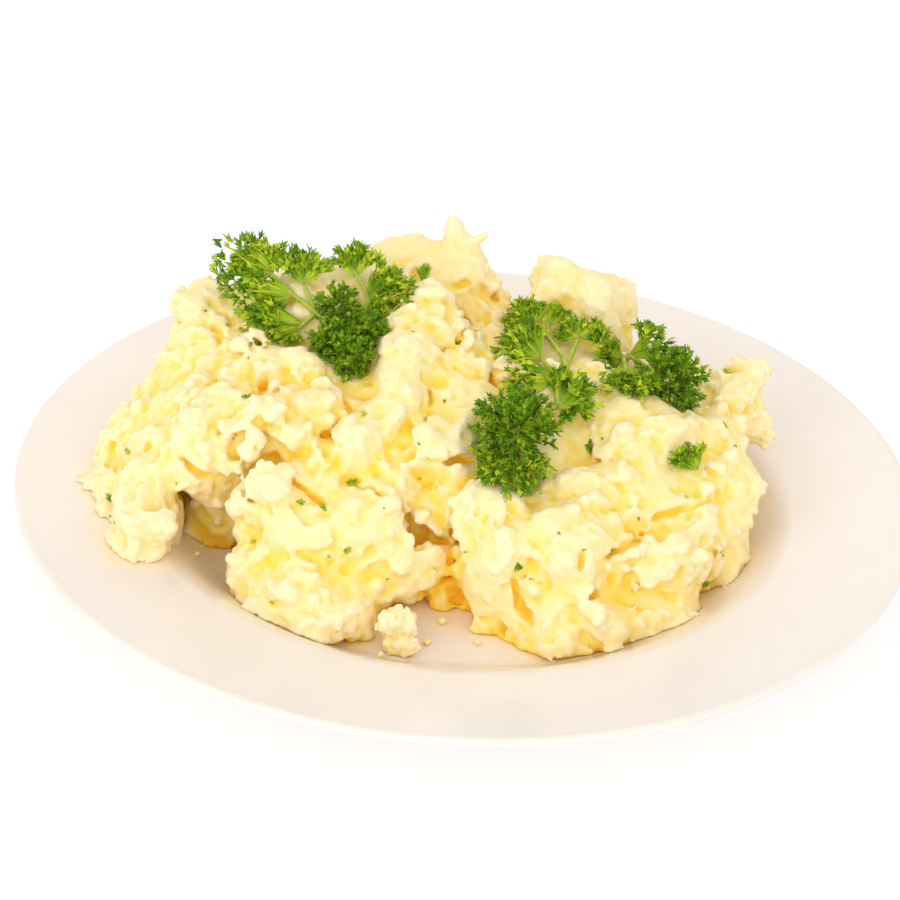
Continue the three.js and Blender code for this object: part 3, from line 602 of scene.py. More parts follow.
# The mash spread a little where it sank onto the plate, with a ragged edge.
radius = np.sqrt(grid[..., 0] ** 2 + grid[..., 1] ** 2)
above = (grid[..., 2] - plate_top(radius)).astype(np.float32)
band = (np.abs(field) < 5.0) & (above > -1) & (above < 6)
field[band] -= np.exp(-np.clip(above[band], 0, 6) / 1.4) * (1.6 + 0.9 * noise(grid[band], 4.0, 91))

# Painted reflection: the glaze within a few mm of the heap is tinted yellow for the light the heap bounces
# onto it, and thin smears where the
# mash was pushed along tint it too: each smear has its middle, its half length and width in mm and its turn
# in degrees.
SMEARS = [(-3.7, -54.5, 4.2, 2.2, 10), (-30, -66.5, 7, 1.8, -8), (-60, -34, 6, 2, 30)]
glazed = np.array([tuple(v.co) for v in plate_mesh.vertices]) / MM
away = np.where(glazed[:, 2] > WELL_Z - 1, sampled(field, glazed + (0, 0, 1), low, CELL), FAR)
away = np.where(np.all((glazed[:, :2] > low[:2]) & (glazed[:, :2] < high[:2]), 1), away, FAR)
glow_smear_layer = plate_mesh.attributes.new("bounce_glow_and_smears", "FLOAT", "POINT")
# Painted bounce glow: yellow, strongest right at the heap's foot and fading within a few mm.
tint = np.exp(-np.clip(away, 0, FAR) / 2.2) * 0.7
for x, y, long, wide, turn in SMEARS:
    ct, st = math.cos(math.radians(turn)), math.sin(math.radians(turn))
    along = ct * (glazed[:, 0] - x) + st * (glazed[:, 1] - y)
    across = ct * (glazed[:, 1] - y) - st * (glazed[:, 0] - x)
    streak = (1 + noise(glazed, 2.5, 95)) * np.exp(-(along / long) ** 2 - (across / wide) ** 2)
    tint += np.where(glazed[:, 2] > WELL_Z - 1, 0.35 * streak, 0)
glow_smear_layer.data.foreach_set("value", np.clip(tint, 0, 1).astype(np.float32))

# Pinholes are closed and hair-thin points are dropped, as moist mash holds neither.
PINHOLE, HAIR = 0.69, 0.24  # shares of mash round a place, above and below which it changes
filled = blurred((field < 0).astype(np.float32), 1)
field = np.maximum(np.minimum(field, (PINHOLE - filled) * 4), (HAIR - filled) * 4)

# The plate's face cuts the heap off below.
field = -soft_min(-field, above - CLEARANCE, 0.5)


def skin(values, origin, cell):
    """Vertices and quads of the skin where the values cross 0: one vertex in each crossed cell."""
    solid = values < 0
    changed = True
    while changed:  # grid points that meet only across a diagonal are joined by a third
        changed = False
        for axis in range(3):
            u, v = [a for a in range(3) if a != axis]
            squares = []
            for i, j in ((0, 0), (1, 0), (0, 1), (1, 1)):
                cut = [slice(None)] * 3
                cut[u], cut[v] = slice(i, -1 + i or None), slice(j, -1 + j or None)
                squares.append(solid[tuple(cut)])
            a, b, c, d = squares
            across, other = a & d & ~b & ~c, b & c & ~a & ~d
            changed = changed or bool(across.any() or other.any())
            b |= across
            a |= other
    values = np.where(solid & (values >= 0), -0.02 * cell, values)
    shape = np.array(values.shape)
    corners = [(i, j, k) for i in (0, 1) for j in (0, 1) for k in (0, 1)]
    filled = sum(solid[tuple(slice(c[a], shape[a] - 1 + c[a]) for a in range(3))].astype(np.int8)
                 for c in corners)
    crossed = (filled > 0) & (filled < 8)
    cells = np.argwhere(crossed)
    number = np.full(crossed.shape, -1, np.int64)
    number[crossed] = np.arange(len(cells))
    total, hits = np.zeros((len(cells), 3)), np.zeros(len(cells))
    for a in corners:
        for axis in range(3):
            if a[axis]:
                continue
            b = tuple(1 if n == axis else a[n] for n in range(3))
            va, vb = [values[tuple((cells + c).T)] for c in (a, b)]
            hit = (va < 0) != (vb < 0)
            t = np.where(hit, va / np.where(hit, va - vb, 1), 0)
            step = np.array(b) - a
            total += np.where(hit[:, None], np.array(a) + step * t[:, None], 0)
            hits += hit
    points = (cells + total / hits[:, None]) * cell + origin
    quads = []
    for axis in range(3):
        u, v = (axis + 1) % 3, (axis + 2) % 3
        inner = [slice(1, -1)] * 3
        first, second = list(inner), list(inner)
        first[axis], second[axis] = slice(0, -1), slice(1, None)
        here, there = solid[tuple(first)], solid[tuple(second)]
        for outward, crossing in ((True, here & ~there), (False, there & ~here)):
            edge = np.argwhere(crossing) + [0 if a == axis else 1 for a in range(3)]
            around = []
            for du, dv in ((0, 0), (-1, 0), (-1, -1), (0, -1)):
                at = edge.copy()
                at[:, u] += du
                at[:, v] += dv
                around.append(number[tuple(at.T)])
            quad = np.stack(around, 1)
            quads.append(quad if outward else quad[:, ::-1])
    return points, np.concatenate(quads)


def mesh_of(name, points, quads):
    mesh = bpy.data.meshes.new(name)
    mesh.vertices.add(len(points))
    mesh.vertices.foreach_set("co", (points * MM).astype(np.float32).ravel())
    mesh.loops.add(quads.size)
    mesh.loops.foreach_set("vertex_index", quads.astype(np.int32).ravel())
    mesh.polygons.add(len(quads))
    mesh.polygons.foreach_set("loop_start", np.arange(len(quads), dtype=np.int32) * 4)
    mesh.polygons.foreach_set("use_smooth", np.ones(len(quads), bool))
    mesh.update(calc_edges=True)
    return mesh


# Painted shade: spots in shadow, under overhangs and in deep hollows, whose colour is pushed deeper yellow
# to orange.
SHADED_SPOTS = [((-3, -42, 14), 9, 0.35), ((-67, -20, 10), 10, 0.45), ((-10, -46, 28), 4.5, 0.3),
         ((-3, 32, 63), 3.5, 0.3), ((-53, -33, 40), 4, 0.3)]  # middle, reach in mm and strength
DEPTH_BLURS = ((0.9, 0.85), (1.0, 2.6), (0.5, 7.0))  # share, and reach in mm


def tone_by_depth(mesh, values, points, origin, cell):
    """Stores how sunk each vertex lies between its neighbours, 0.35 on the flat and 1 deep in a crevice, as
    painted shade for the colour.
    At the listed shaded spots it counts as sunk further, which paints deeper shade there."""
    solid = (values < 0).astype(np.float32)
    solid[:, :, :max(0, int((WELL_Z - origin[2]) / cell)) + 1] = 1
    depth_shade = sum(share * (sampled(blurred(solid, max(1, round(reach / cell))), points, origin, cell) - 0.5)
               for share, reach in DEPTH_BLURS)
    depth_shade += sum(much * np.exp(-((points - place) ** 2).sum(-1) / reach ** 2) for place, reach, much in SHADED_SPOTS)
    tone = mesh.attributes.new("depth_shade", "FLOAT", "POINT")
    tone.data.foreach_set("value", np.clip(0.35 + depth_shade * 0.65, 0, 1).astype(np.float32))


points, quads = skin(field, low, CELL)
mash_mesh = mesh_of("mash_heap", points, quads)
tone_by_depth(mash_mesh, field, points, low, CELL)

# Mashed potato: pale cream yellow where it stands out, and a painted shade of butter yellow to orange down
# in the crevices and shaded hollows, standing in for shade and the light that goes through the potato there;
# it is soft and lets light in.
mash_stuff, tree, shader = new_material("buttered_mashed_potato", {
    "Roughness": 0.5, "Specular IOR Level": 0.3, "Subsurface Weight": 0.4,
    "Subsurface Radius": (1.0, 0.85, 0.35), "Subsurface Scale": 1.0 * MM})
depth_shade_in = add(tree, "ShaderNodeAttribute", {"attribute_name": "depth_shade"})
# Painted shade: the colour deepens from pale cream to orange as the depth shade rises.
colour = ramp(tree, depth_shade_in.outputs["Fac"], (0.12, "#FFECBE"), (0.33, "#FFE6A2"), (0.46, "#FFE178"),
              (0.60, "#FFD846"), (0.80, "#FFBA12"))
tree.links.new(colour, shader.inputs["Base Color"])
where = add(tree, "ShaderNodeTexCoord")
grit = add(tree, "ShaderNodeTexNoise", {"Scale": 1 / (1.1 * MM), "Detail": 4.0, "Roughness": 0.6},
           {"Vector": where.outputs["Object"]})
rise = add(tree, "ShaderNodeBump", {"Strength": 0.75, "Distance": 0.5 * MM}, {"Height": grit.outputs["Fac"]})
tree.links.new(rise.outputs["Normal"], shader.inputs["Normal"])
mash_mesh.materials.append(mash_stuff)
mash = link("mash_heap", mash_mesh)
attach(mash, "root")
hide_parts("mash")

# ----------------------------------------
# Large crumb: a torn bit of the same mash, 14 mm high, that dropped on the plate in front.
# ----------------------------------------

CRUMB_LUMPS = [
    lump((-16, -66, 11.5), (3.9, 3.7, 6), lean=-10),
    lump((-13.8, -67.3, 8.8), (3.4, 3.4, 3.4), turn=20),
    lump((-17.8, -67, 15.6), (2.4, 2.5, 2.6), turn=35),
    lump((-13, -66, 14.6), (2.8, 2.6, 2.6), turn=15),
]
CRUMB_CELL = 0.36
CRUMB_COUNT = (50, 50, 58)  # grid places along X, Y and Z
crumb_low = np.array([-24.0, -76.0, 3.0])
spots = [crumb_low[a] + CRUMB_CELL * np.arange(n) for a, n in enumerate(CRUMB_COUNT)]
spots = np.stack(np.meshgrid(*spots, indexing="ij"), -1)
torn = spots + 1.4 * shifts(spots, 3.0, 71)
torn += 0.5 * shifts(spots, 1.3, 76)
crumb_field = np.full(spots.shape[:3], FAR)
for one in CRUMB_LUMPS:
    crumb_field = soft_min(crumb_field, lump_distance(torn, one), 1.0)
crumb_field += 1.7 * (grains(torn, 3.4, 74) - 0.5) + 0.9 * (grains(torn, 1.7, 75) - 0.5)
spot_radius = np.sqrt(spots[..., 0] ** 2 + spots[..., 1] ** 2)
crumb_field = -soft_min(-crumb_field, spots[..., 2] - plate_top(spot_radius) - CLEARANCE, 0.3)
points, quads = skin(crumb_field, crumb_low, CRUMB_CELL)
crumb_mesh = mesh_of("crumb_large", points, quads)
tone_by_depth(crumb_mesh, crumb_field, points, crumb_low, CRUMB_CELL)
crumb_mesh.materials.append(mash_stuff)
crumb = link("crumb_large", crumb_mesh)
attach(crumb, "root")
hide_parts("mash_crumb")

# ----------------------------------------
# Parsley: sprigs of curly parsley, picked fresh and laid on the mash. The grooved stems are pale
# and the leaflets are fans that crinkle into many small toothed lobes at the edge.
# ----------------------------------------

LEAF_THICK = 0.3
FLAKE_THICK = 0.22
LEAF_GAP = 0.3  # from the leaves' middle to the mash
STEM_LIFT = 2.3  # from the mash's skin to the middle of a stem that lies on it
RAY_LOBES = 11  # curled lobes at the edge of a frond, for each of its rays
TUFT_LOBES = 8  # small lobes round each blade of a tuft
TUFT_SHADE = 0.6  # a tuft's tints against a frond's
SPRIGS = {  # stems by their points, fronds by their foot with each fan's tip and spread, tufts with reach
    "parsley_left": {
        "facing": (0, -0.86, 0.5),
        "stems": [
            [(-36.5, 12, 55), (-30, 16, 60), (-30, 20, 64), (-34.5, 26, 69)],
            [(-36.5, 12, 55), (-43, 15, 59), (-49.5, 19, 62), (-57, 24, 67)],
            [(-43, 15, 59), (-47.5, 21, 65)],
            [(-43, 15, 59), (-48.5, 12, 55)],
            [(-36.5, 12, 55), (-38, 5, 54), (-41, -1.5, 53.5)],
            [(-38, 5, 54), (-33, -2.5, 53.5)],
        ],
        "fronds": [
            ((-56, 24, 67), [((-77.5, 23, 66), 52), ((-72, 29, 72), 48), ((-64.5, 30, 74), 38)]),
            ((-55, 24, 67), [((-57, 30, 74), 32)]),
            ((-49.5, 19, 62), [((-70, 20, 62), 48), ((-64.5, 16, 58), 45)]),
            ((-47.5, 21, 65), [((-52.5, 28, 73), 50), ((-43, 28, 72), 42)]),
            ((-46, 13, 57), [((-65.5, 13, 55), 46), ((-61.5, 10, 52), 46)]),
            ((-48.5, 12, 55), [((-50.5, 3, 49), 55)]),
            ((-33.5, 24, 67), [((-38.5, 30, 74), 50), ((-30, 30, 75), 46)]),
            ((-30, 20, 64), [((-21.5, 26, 71), 50)]),
            ((-30, 18, 62), [((-15, 21, 67), 55)]),
            ((-30, 16, 60), [((-19, 14, 60), 55)]),
        ],
        "tufts": [((-38, 16, 60), 7), ((-35, 8, 55), 9), ((-41, -1.5, 53), 7.5), ((-33, -2.5, 53), 7.5),
                  ((-26, 7, 56), 7.5)],
    },
    "parsley_centre": {
        "facing": (0, -0.75, 0.66),
        "stems": [
            [(23.5, -15, 51.5), (25.5, 1, 54.5), (20.5, 14, 56.5), (16.5, 22, 56.5)],
            [(20.5, 14, 56.5), (20.5, 22, 56.5)],
            [(25.5, 1, 54.5), (28.5, 15, 54.5)],
            [(23.5, -15, 51.5), (22.5, -5, 54.5), (18.5, 4, 55.5)],
            [(23.5, -15, 51.5), (13.5, -22, 50.5), (13, -28, 49.5), (12.5, -33, 46.5)],
        ],
        "fronds": [
            ((16.5, 22, 56.5), [((7.5, 25, 57.5), 75), ((15.5, 30, 61.5), 65)]),
            ((20.5, 22, 56.5), [((25.5, 28, 59.5), 65)]),
            ((28.5, 15, 54.5), [((22.5, 19, 57.5), 60), ((31.5, 24, 57.5), 70), ((37.5, 18, 57.5), 50)]),
            ((18.5, 4, 55.5), [((8.5, 19, 56.5), 65), ((6.5, 10, 56.5), 60)]),
            ((22.7, -6, 54.3), [((6, -6, 55.5), 48)]),
            ((23.5, -14, 51.5), [((26.5, -1, 56.5), 50)]),
            ((23.5, -15, 51.5), [((34.5, -11, 54.5), 60), ((28.5, -20, 50.5), 60)]),
            ((12.5, -33, 46.5), [((1, -39, 43), 55), ((9, -50, 41.5), 60), ((21, -43, 42), 55)]),
        ],
        "tufts": [((12, -25, 47.5), 13.5)],
    },
    "parsley_right": {
        "facing": (0.1, -0.75, 0.66),
        "stems": [
            [(38.7, 12, 47.5), (43.7, 19, 49.5), (46.7, 25, 51.5)],
            [(43.7, 19, 49.5), (51.7, 9, 49.5)],
            [(38.7, 12, 47.5), (40.7, 2, 49.5)],
        ],
        "fronds": [
            ((46.7, 24, 51.5), [((49.7, 31, 54.5), 48)]),
            ((43.7, 19, 49.5), [((55.7, 25, 52.5), 58)]),
            ((38.7, 12, 47.5), [((33.5, 17, 48.5), 50), ((31.7, 8, 48.5), 60)]),
            ((40.7, 5, 48.5), [((39.7, -12, 49.5), 50), ((45.7, -10, 49.5), 50)]),
        ],
        "tufts": [((53.7, 6, 48.5), 12)],
    },
    "parsley_leaflet": {
        "facing": (0.1, -0.6, 0.8),
        "stems": [],
        "fronds": [((61, -26, 41), [((54.8, -21.6, 46.4), 92)])],
        "tufts": [],
    },
}


def heap_distance(p):
    """Distance in mm to the heap's main lumps."""
    p = wobble(p)
    distance = np.full(p.shape[:-1], FAR)
    for one in LUMPS.values():
        distance = soft_min(distance, lump_distance(p, one), BLEND)
    for one in HOLLOWS.values():
        distance = -soft_min(-distance, lump_distance(p, one), CREASE)
    return distance


def unit(v):
    return v / (np.linalg.norm(v, axis=-1, keepdims=True) + 1e-12)


def lifted(point, lift=STEM_LIFT):
    """A point of a sprig, lifted off the mash where it would lie in it."""
    place = np.array(point, float)
    e = 0.5
    for _ in range(4):
        short = lift - heap_distance(place)
        slope = heap_distance(place + e * np.eye(3)) - heap_distance(place - e * np.eye(3))
        place = place + unit(slope) * max(short, 0)
    return place


def lobe(foot, out, face, length, width, curl, cup, teeth, start, end):
    """One lobe of a leaf: a small sheet, as a grid of points whose last row is cut into teeth. It runs
    from its foot along out, curls towards face and is cupped across. Its tone along goes from start to
    end, and its tint is its own."""
    columns = 2 * teeth - 1
    v = np.linspace(-1, 1, columns)[None, :]
    u = np.array([0.0, 0.38, 0.72, 1.0])[:, None]
    notch = np.where(np.arange(columns) % 2 == 1, 0.5, 0.0)[None, :]
    reach = u * (1 - notch * u * u) * (1 - 0.22 * v * v)
    half_width = 0.5 * width * np.array([0.16, 0.62, 1.0, 1.12])[:, None]
    bend = curl if abs(curl) > 0.05 else 0.05
    along = length * np.sin(bend * reach) / bend
    up = length * (1 - np.cos(bend * reach)) / bend
    up = up + cup * v * v * half_width * u + 0.16 * width * np.sin(4 * v + rng.uniform(0, 6.3)) * u * u
    side = unit(np.cross(out, face))
    face = np.cross(side, out)
    sheet = foot + along[..., None] * out + up[..., None] * face + (v * half_width)[..., None] * side
    return sheet, np.broadcast_to(start + (end - start) * u, reach.shape), rng.random()


def frond(foot, tip, spread, facing):
    """A fan: narrow blades from its foot, and rows of curled lobes along its edge."""
    axis = unit(tip - foot)
    length = np.linalg.norm(tip - foot)
    side = unit(np.cross(axis, facing))
    up = np.cross(side, axis)
    rays = max(4, round(spread / 11))
    lobes = []
    for angle in np.radians(spread) * np.linspace(-0.5, 0.5, rays):
        angle += rng.uniform(-0.04, 0.04)
        out = math.cos(angle) * axis + math.sin(angle) * side
        reach = length * rng.uniform(0.88, 1.04) * (1 - 0.15 * abs(angle))
        wide = 1.05 * reach * math.radians(spread) / rays
        face = unit(up + 0.35 * rng.normal(size=3))
        lobes.append(lobe(foot, out, face, 0.74 * reach, wide, rng.uniform(-0.3, 0.5), 0.7, 3, 0.0, 0.8))
        for _ in range(RAY_LOBES):
            at = foot + out * reach * rng.uniform(0.38, 0.82) + side * rng.normal() * 0.06 * length
            at = at + up * length * rng.uniform(-0.04, 0.12)
            swing = rng.uniform(-1.1, 1.1)
            way = unit(math.cos(swing) * out + math.sin(swing) * side + up * rng.uniform(-0.3, 0.8))
            long = min(0.3 * length, 3.5) * rng.uniform(0.7, 1.1)
            face = unit(up + 0.8 * rng.normal(size=3))
            lobes.append(lobe(at, way, face, long, long * rng.uniform(0.42, 0.7), rng.uniform(-1.1, 1.3),
                              rng.uniform(-0.7, 0.9), 3, 0.5, 1.0))
    return lobes


def tuft(heart, reach, facing):
    """A dense ball of crinkled lobes that stand out all round from one heart."""
    up = unit(np.array(facing, float))
    across = unit(np.cross(up, (0, 0, 1)))
    along = np.cross(across, up)
    count = round(reach * 4.5)
    lobes = []
    for i in range(count):
        rise = 1 - 1.25 * (i + 0.5) / count
        flat = math.sqrt(1 - rise * rise)
        spin = i * math.pi * (3 - math.sqrt(5))
        out = rise * up + flat * (math.cos(spin) * across + math.sin(spin) * along)
        out = unit(out + 0.15 * rng.normal(size=3))
        face = unit(np.cross(out, rng.normal(size=3)))
        lobes.append(lobe(heart + 0.15 * reach * out, out, face, 0.6 * reach, 0.3 * reach,
                          rng.uniform(-0.5, 0.5), 0.6, 3, 0.1, 0.7))
        for _ in range(TUFT_LOBES):
            at = heart + out * reach * rng.uniform(0.55, 0.84)
            way = unit(out + 0.6 * rng.normal(size=3))
            face = unit(np.cross(way, rng.normal(size=3)))
            long = min(0.3 * reach, 2.6) * rng.uniform(0.7, 1.05)
            lobes.append(lobe(at, way, face, long, long * rng.uniform(0.42, 0.7), rng.uniform(-1.2, 1.2),
                              rng.uniform(-0.7, 0.9), 3, 0.5, 1.0))
    return [(sheet, along, TUFT_SHADE * tint) for sheet, along, tint in lobes]


slopes = np.stack(np.gradient(field[::2, ::2, ::2].astype(np.float32)), -1)


def clear_of_mash(p, gap):
    """Points pushed out of the heap to a gap from its skin."""
    for _ in range(3):
        short = gap - sampled(field, p, low, CELL)
        slope = np.stack([sampled(slopes[..., a], p, low, 2 * CELL) for a in range(3)], -1)
        inside = np.all((p > low) & (p < high), -1)
        p = p + unit(slope) * np.where(inside, np.clip(short, 0, 2.5), 0)[..., None]
    return p


def sheets_to_mesh(name, lobes, thick):
    """Each lobe's sheet as a thin closed solid, all in one mesh, with tones along it and of its own."""
    rows, columns = lobes[0][0].shape[:2]
    sheets = clear_of_mash(np.stack([one[0] for one in lobes]), LEAF_GAP)
    normal = unit(np.cross(np.gradient(sheets, axis=1), np.gradient(sheets, axis=2)))
    taper = np.array([1.0, 1.0, 0.9, 0.5])[None, :, None, None]
    both = np.stack([sheets + normal * thick / 2 * taper, sheets - normal * thick / 2 * taper], 1)
    place = np.arange(rows * columns).reshape(rows, columns)
    a, b, c, d = place[:-1, :-1], place[1:, :-1], place[1:, 1:], place[:-1, 1:]
    top = np.stack([a, b, c, d], -1).reshape(-1, 4)
    loop = np.concatenate([place[0, :-1], place[:-1, -1], place[-1, :0:-1], place[:0:-1, 0]])
    ahead = np.roll(loop, -1)
    under = rows * columns
    rim = np.stack([loop, ahead, ahead + under, loop + under], -1)
    one = np.concatenate([top, top[:, ::-1] + under, rim])
    quads = (one[None] + (np.arange(len(lobes)) * 2 * under)[:, None, None]).reshape(-1, 4)
    mesh = mesh_of(name, both.reshape(-1, 3), quads)
    tones = {
        "along": np.stack([np.stack([entry[1]] * 2) for entry in lobes]).ravel(),
        "tint": np.repeat([entry[2] for entry in lobes], 2 * under),
    }
    for key, values in tones.items():
        mesh.attributes.new(key, "FLOAT", "POINT").data.foreach_set("value", values.astype(np.float32))
    return mesh


STEM_SIDES = 8
RIB_R = (0.42, 0.15)  # mm, a rib's radius at its foot and its tip
STEM_R = (0.85, 0.6)


def tube(route, thick_from, thick_to):
    """A round stem through the points of its route, smoothly bent, closed at both ends."""
    route = [2 * route[0] - route[1]] + route + [2 * route[-1] - route[-2]]
    middles = []
    for a, b, c, d in zip(route, route[1:], route[2:], route[3:]):
        for t in np.linspace(0, 1, 6, endpoint=False):
            middles.append(0.5 * (2 * b + (c - a) * t + (2 * a - 5 * b + 4 * c - d) * t * t
                                  + (3 * b - a - 3 * c + d) * t ** 3))
    middles = np.array(middles + [route[-2]])
    run = unit(np.gradient(middles, axis=0))
    across = unit(np.cross(run, (0.3, 0.9, 0.2)))
    other = np.cross(run, across)
    thick = np.linspace(thick_from, thick_to, len(middles))[:, None, None] * np.ones((1, STEM_SIDES, 1))
    thick[[0, -1]] *= 0.5
    thick[:, ::2] *= 1.08
    turn = np.linspace(0, 2 * math.pi, STEM_SIDES, endpoint=False)[None, :, None]
    rings = middles[:, None] + thick * (np.cos(turn) * across[:, None] + np.sin(turn) * other[:, None])
    place = np.arange(len(middles) * STEM_SIDES).reshape(-1, STEM_SIDES)
    a, b = place[:-1], place[1:]
    quads = np.stack([a, np.roll(a, -1, 1), np.roll(b, -1, 1), b], -1).reshape(-1, 4)
    cap = np.array([(0, 3, 2, 1), (0, 7, 4, 3), (4, 7, 6, 5)])
    quads = np.concatenate([quads, cap, (cap + place[-1, 0])[:, ::-1]])
    return rings.reshape(-1, 3), quads


# Parsley leaf: waxy, mid green, paler towards the foot, and each lobe a shade of its own.
leaf_green, tree, shader = new_material("curly_parsley_leaf", {
    "Roughness": 0.5, "Specular IOR Level": 0.12, "Subsurface Weight": 0.25,
    "Subsurface Radius": (0.5, 1.0, 0.15), "Subsurface Scale": 0.8 * MM})
along_in = add(tree, "ShaderNodeAttribute", {"attribute_name": "along"})
tint_in = add(tree, "ShaderNodeAttribute", {"attribute_name": "tint"})
where = add(tree, "ShaderNodeTexCoord")
mottle = add(tree, "ShaderNodeTexNoise", {"Scale": 1 / (1.2 * MM), "Detail": 3.0},
             {"Vector": where.outputs["Object"]})
outer = ramp(tree, tint_in.outputs["Fac"],
             (0.0, "#4E7C12"), (0.35, "#7CA41A"), (0.7, "#A0BE20"), (1.0, "#CAD834"))
inner = ramp(tree, mottle.outputs["Fac"], (0.3, "#96B424"), (0.7, "#BACC3E"))
share = add(tree, "ShaderNodeMapRange", {"From Min": 0.1, "From Max": 0.45},
            {"Value": along_in.outputs["Fac"]})
blend = add(tree, "ShaderNodeMix", {"data_type": "RGBA"},
            {MIX_SHARE: share.outputs["Result"], MIX_A: inner, MIX_B: outer})
tree.links.new(blend.outputs[MIX_COLOUR], shader.inputs["Base Color"])

# Parsley stem: juicy, smooth and yellow green.
stem_green, tree, shader = new_material("curly_parsley_stem", {
    "Roughness": 0.35, "Subsurface Weight": 0.3,
    "Subsurface Radius": (0.6, 1.0, 0.2), "Subsurface Scale": 1.0 * MM})
where = add(tree, "ShaderNodeTexCoord")
streak = add(tree, "ShaderNodeTexNoise", {"Scale": 1 / (2 * MM), "Detail": 2.0},
             {"Vector": where.outputs["Object"]})
shade = ramp(tree, streak.outputs["Fac"], (0.3, "#90A81E"), (0.7, "#BCC240"))
tree.links.new(shade, shader.inputs["Base Color"])

for name, sprig in SPRIGS.items():
    facing = np.array(sprig["facing"], float)
    lobes, tubes = [], []
    for foot, fans in sprig["fronds"]:
        foot = lifted(foot)
        for tip, spread in fans:
            tip = lifted(tip)
            lobes += frond(foot, tip, spread, facing)
            for swing in (-0.25, 0.0, 0.25):
                way = (tip - foot) + swing * np.cross(tip - foot, facing)
                tubes.append(tube([foot, foot + 0.25 * way, foot + 0.5 * way + 0.3 * unit(facing)], *RIB_R))
    for heart, reach in sprig["tufts"]:
        lobes += tuft(lifted(heart, STEM_LIFT + 0.2 * reach), reach, facing)
    for route in sprig["stems"]:
        tubes.append(tube([lifted(point) for point in route], *STEM_R))
    leaves_mesh = sheets_to_mesh(name + "_leaves", lobes, LEAF_THICK)
    leaves_mesh.materials.append(leaf_green)
    starts = np.cumsum([0] + [len(points) for points, _ in tubes])
    stem_points = clear_of_mash(np.concatenate([points for points, _ in tubes]), LEAF_GAP)
    stem_mesh = mesh_of(name + "_stems", stem_points,
                        np.concatenate([quads + start for (_, quads), start in zip(tubes, starts)]))
    stem_mesh.materials.append(stem_green)
    for mesh in (leaves_mesh, stem_mesh):
        piece = link(mesh.name, mesh)
        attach(piece, "root")
        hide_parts(name)

# ----------------------------------------
# Flakes: parsley leaf chopped small with a knife and stirred in, so that bits lie on the mash and
# stick out of it. Each is one or more cut lobes of leaf, 1 to 6 mm long.
# ----------------------------------------

FLAKES = [  # a point near the skin, then length, width and turn in degrees
    ((-61, -21, 50), 4.6, 1.6, 50),
    ((-89, -18, 32), 2.8, 2.0, 20),
    ((-94, -23, 21), 2.6, 1.8, 80),
    ((-58, -30, 30), 3.2, 2.0, 10),
    ((-49, -31, 38), 2.0, 1.6, 0),
    ((-30, -40, 41), 4.8, 3.0, 120),
    ((-36, -48, 38), 3.2, 1.8, 160),
    ((-42, -47, 37), 2.8, 1.8, 40),
    ((-29, -54, 28), 2.6, 2.0, 0),
    ((-53, -46, 19), 2.4, 1.6, 20),
    ((-27, -27, 51), 2.6, 1.6, 30),
    ((-5, 6, 56), 4.4, 2.2, 30),
    ((33, -20, 43), 4.6, 2.6, 170),
    ((71, 16, 43), 3.2, 2.4, 150),
    ((64, -8, 42), 3.2, 1.8, 160),
    ((12, -54, 28), 3.2, 2.6, 140),
    ((37, -47, 30), 2.4, 1.8, 0),
    ((66, -35, 12), 3.4, 2.4, 100),
    ((-15, 35, 64), 6, 4.4, 60),
    ((21, -61, 9), 1.8, 1.0, 80),
    ((-27, -62, 9), 2.4, 1.2, 0),
    ((-34, -23, 42), 1.4, 0.9, 30),
    ((-6, -16, 50), 1.4, 0.9, 70),
]
SPECKS = 36  # seeded bits finer than 1.5 mm, all over the heap
bits = [(np.array(place, float), length, width, turn) for place, length, width, turn in FLAKES]
bits += [(at, rng.uniform(0.7, 1.5), rng.uniform(0.5, 0.9), rng.uniform(0, 180))
         for at in places_on_skin(SPECKS, 1.0)[0]]
lobes = []
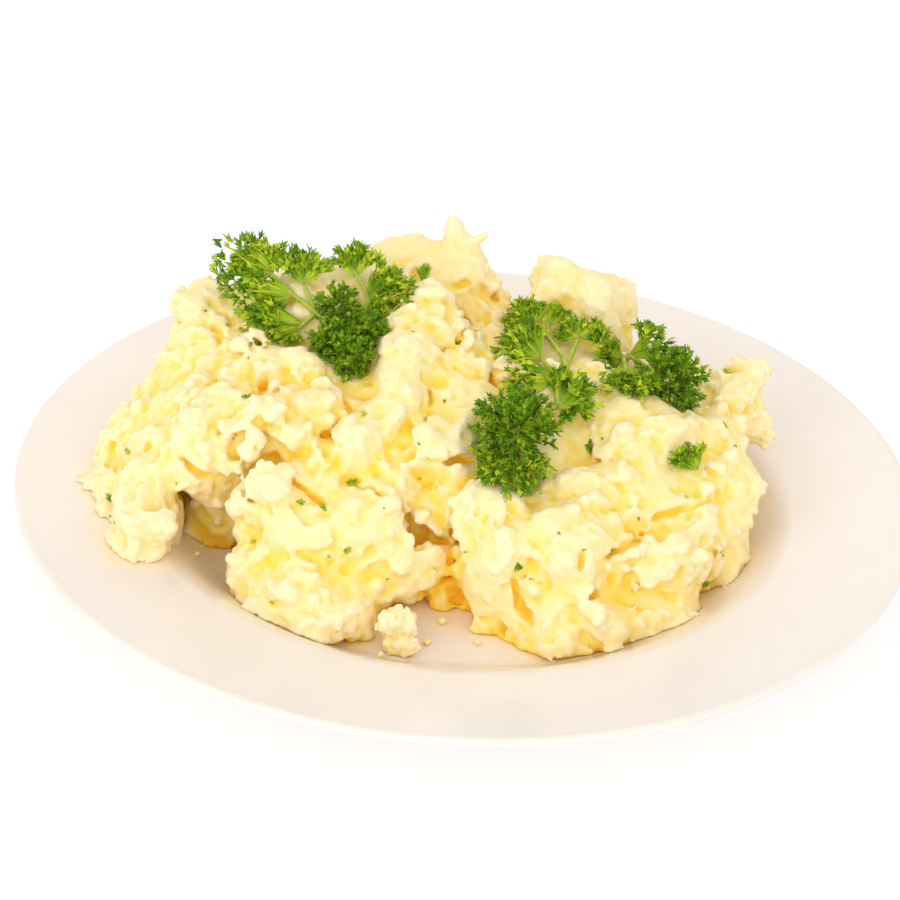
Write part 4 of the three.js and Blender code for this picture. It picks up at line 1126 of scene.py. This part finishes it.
for place, length, width, turn in bits:
    place = onto_skin(place)
    out = slope_at(place)
    flat = Vector((0, 1, 0)).rotation_difference(Vector(out)) @ Vector((math.cos(math.radians(turn)), 0,
                                                                      -math.sin(math.radians(turn))))
    way = np.array(flat)
    side = np.cross(out, way)
    foot = place - 0.45 * length * way + 0.2 * out
    lobes.append(lobe(foot, way, out, 0.95 * length, 0.8 * width, rng.uniform(-0.4, 0.4), 0.4, 3, 0.5, 1.0))
    for swing in rng.uniform(-1.0, 1.0, round(length)):
        aside = unit(way + swing * side)
        at = foot + way * length * rng.uniform(0.15, 0.6)
        lobes.append(lobe(at, aside, unit(out + 0.4 * rng.normal(size=3)), 0.5 * length, 0.5 * width,
                          rng.uniform(-0.8, 0.8), 0.5, 3, 0.5, 1.0))
flakes_mesh = sheets_to_mesh("mash_flakes", lobes, FLAKE_THICK)
flakes_mesh.materials.append(leaf_green)
flakes = link("mash_flakes", flakes_mesh)
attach(flakes, "root")
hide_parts("mash")

# ----------------------------------------
# Small crumbs: bits of the same mash, 1 to 3 mm across, that fell round the large crumb and along
# the heap's foot.
# ----------------------------------------

CRUMBS = [(-24.4, -61, 1.5), (-21.8, -61.8, 1.2), (-26.5, -63.5, 0.8), (-7.5, -63.5, 1.0), (-19, -72.5, 0.9),
          (-4, -54, 1.1), (5.5, -62.5, 0.8), (-45, -60.5, 0.9), (-70.5, -33.5, 0.8), (57, -49, 0.8)]
SPOT = np.linspace(-1.6, 1.6, 13)
spots = np.stack(np.meshgrid(SPOT, SPOT, SPOT, indexing="ij"), -1)
all_points, all_quads, start = [], [], 0
for x, y, size in CRUMBS:
    torn = spots + 0.35 * shifts(spots + x, 0.9, 81)
    one = lump((0, 0, 0), (1.0, rng.uniform(0.7, 1.0), rng.uniform(0.6, 0.9)), turn=rng.uniform(0, 180))
    points, quads = skin(lump_distance(torn, one), np.full(3, SPOT[0]), SPOT[1] - SPOT[0])
    points = points * size
    points += (x, y, float(plate_top(math.hypot(x, y))) - points[:, 2].min() + 0.05)
    all_points.append(points)
    all_quads.append(quads + start)
    start += len(points)
bits_mesh = mesh_of("small_crumbs", np.concatenate(all_points), np.concatenate(all_quads))
# Small crumbs get one flat value of painted depth shade, little more than on the flat.
tone = bits_mesh.attributes.new("depth_shade", "FLOAT", "POINT")
tone.data.foreach_set("value", np.full(start, 0.3, np.float32))
bits_mesh.materials.append(mash_stuff)
small_crumbs = link("small_crumbs", bits_mesh)
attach(small_crumbs, "root")
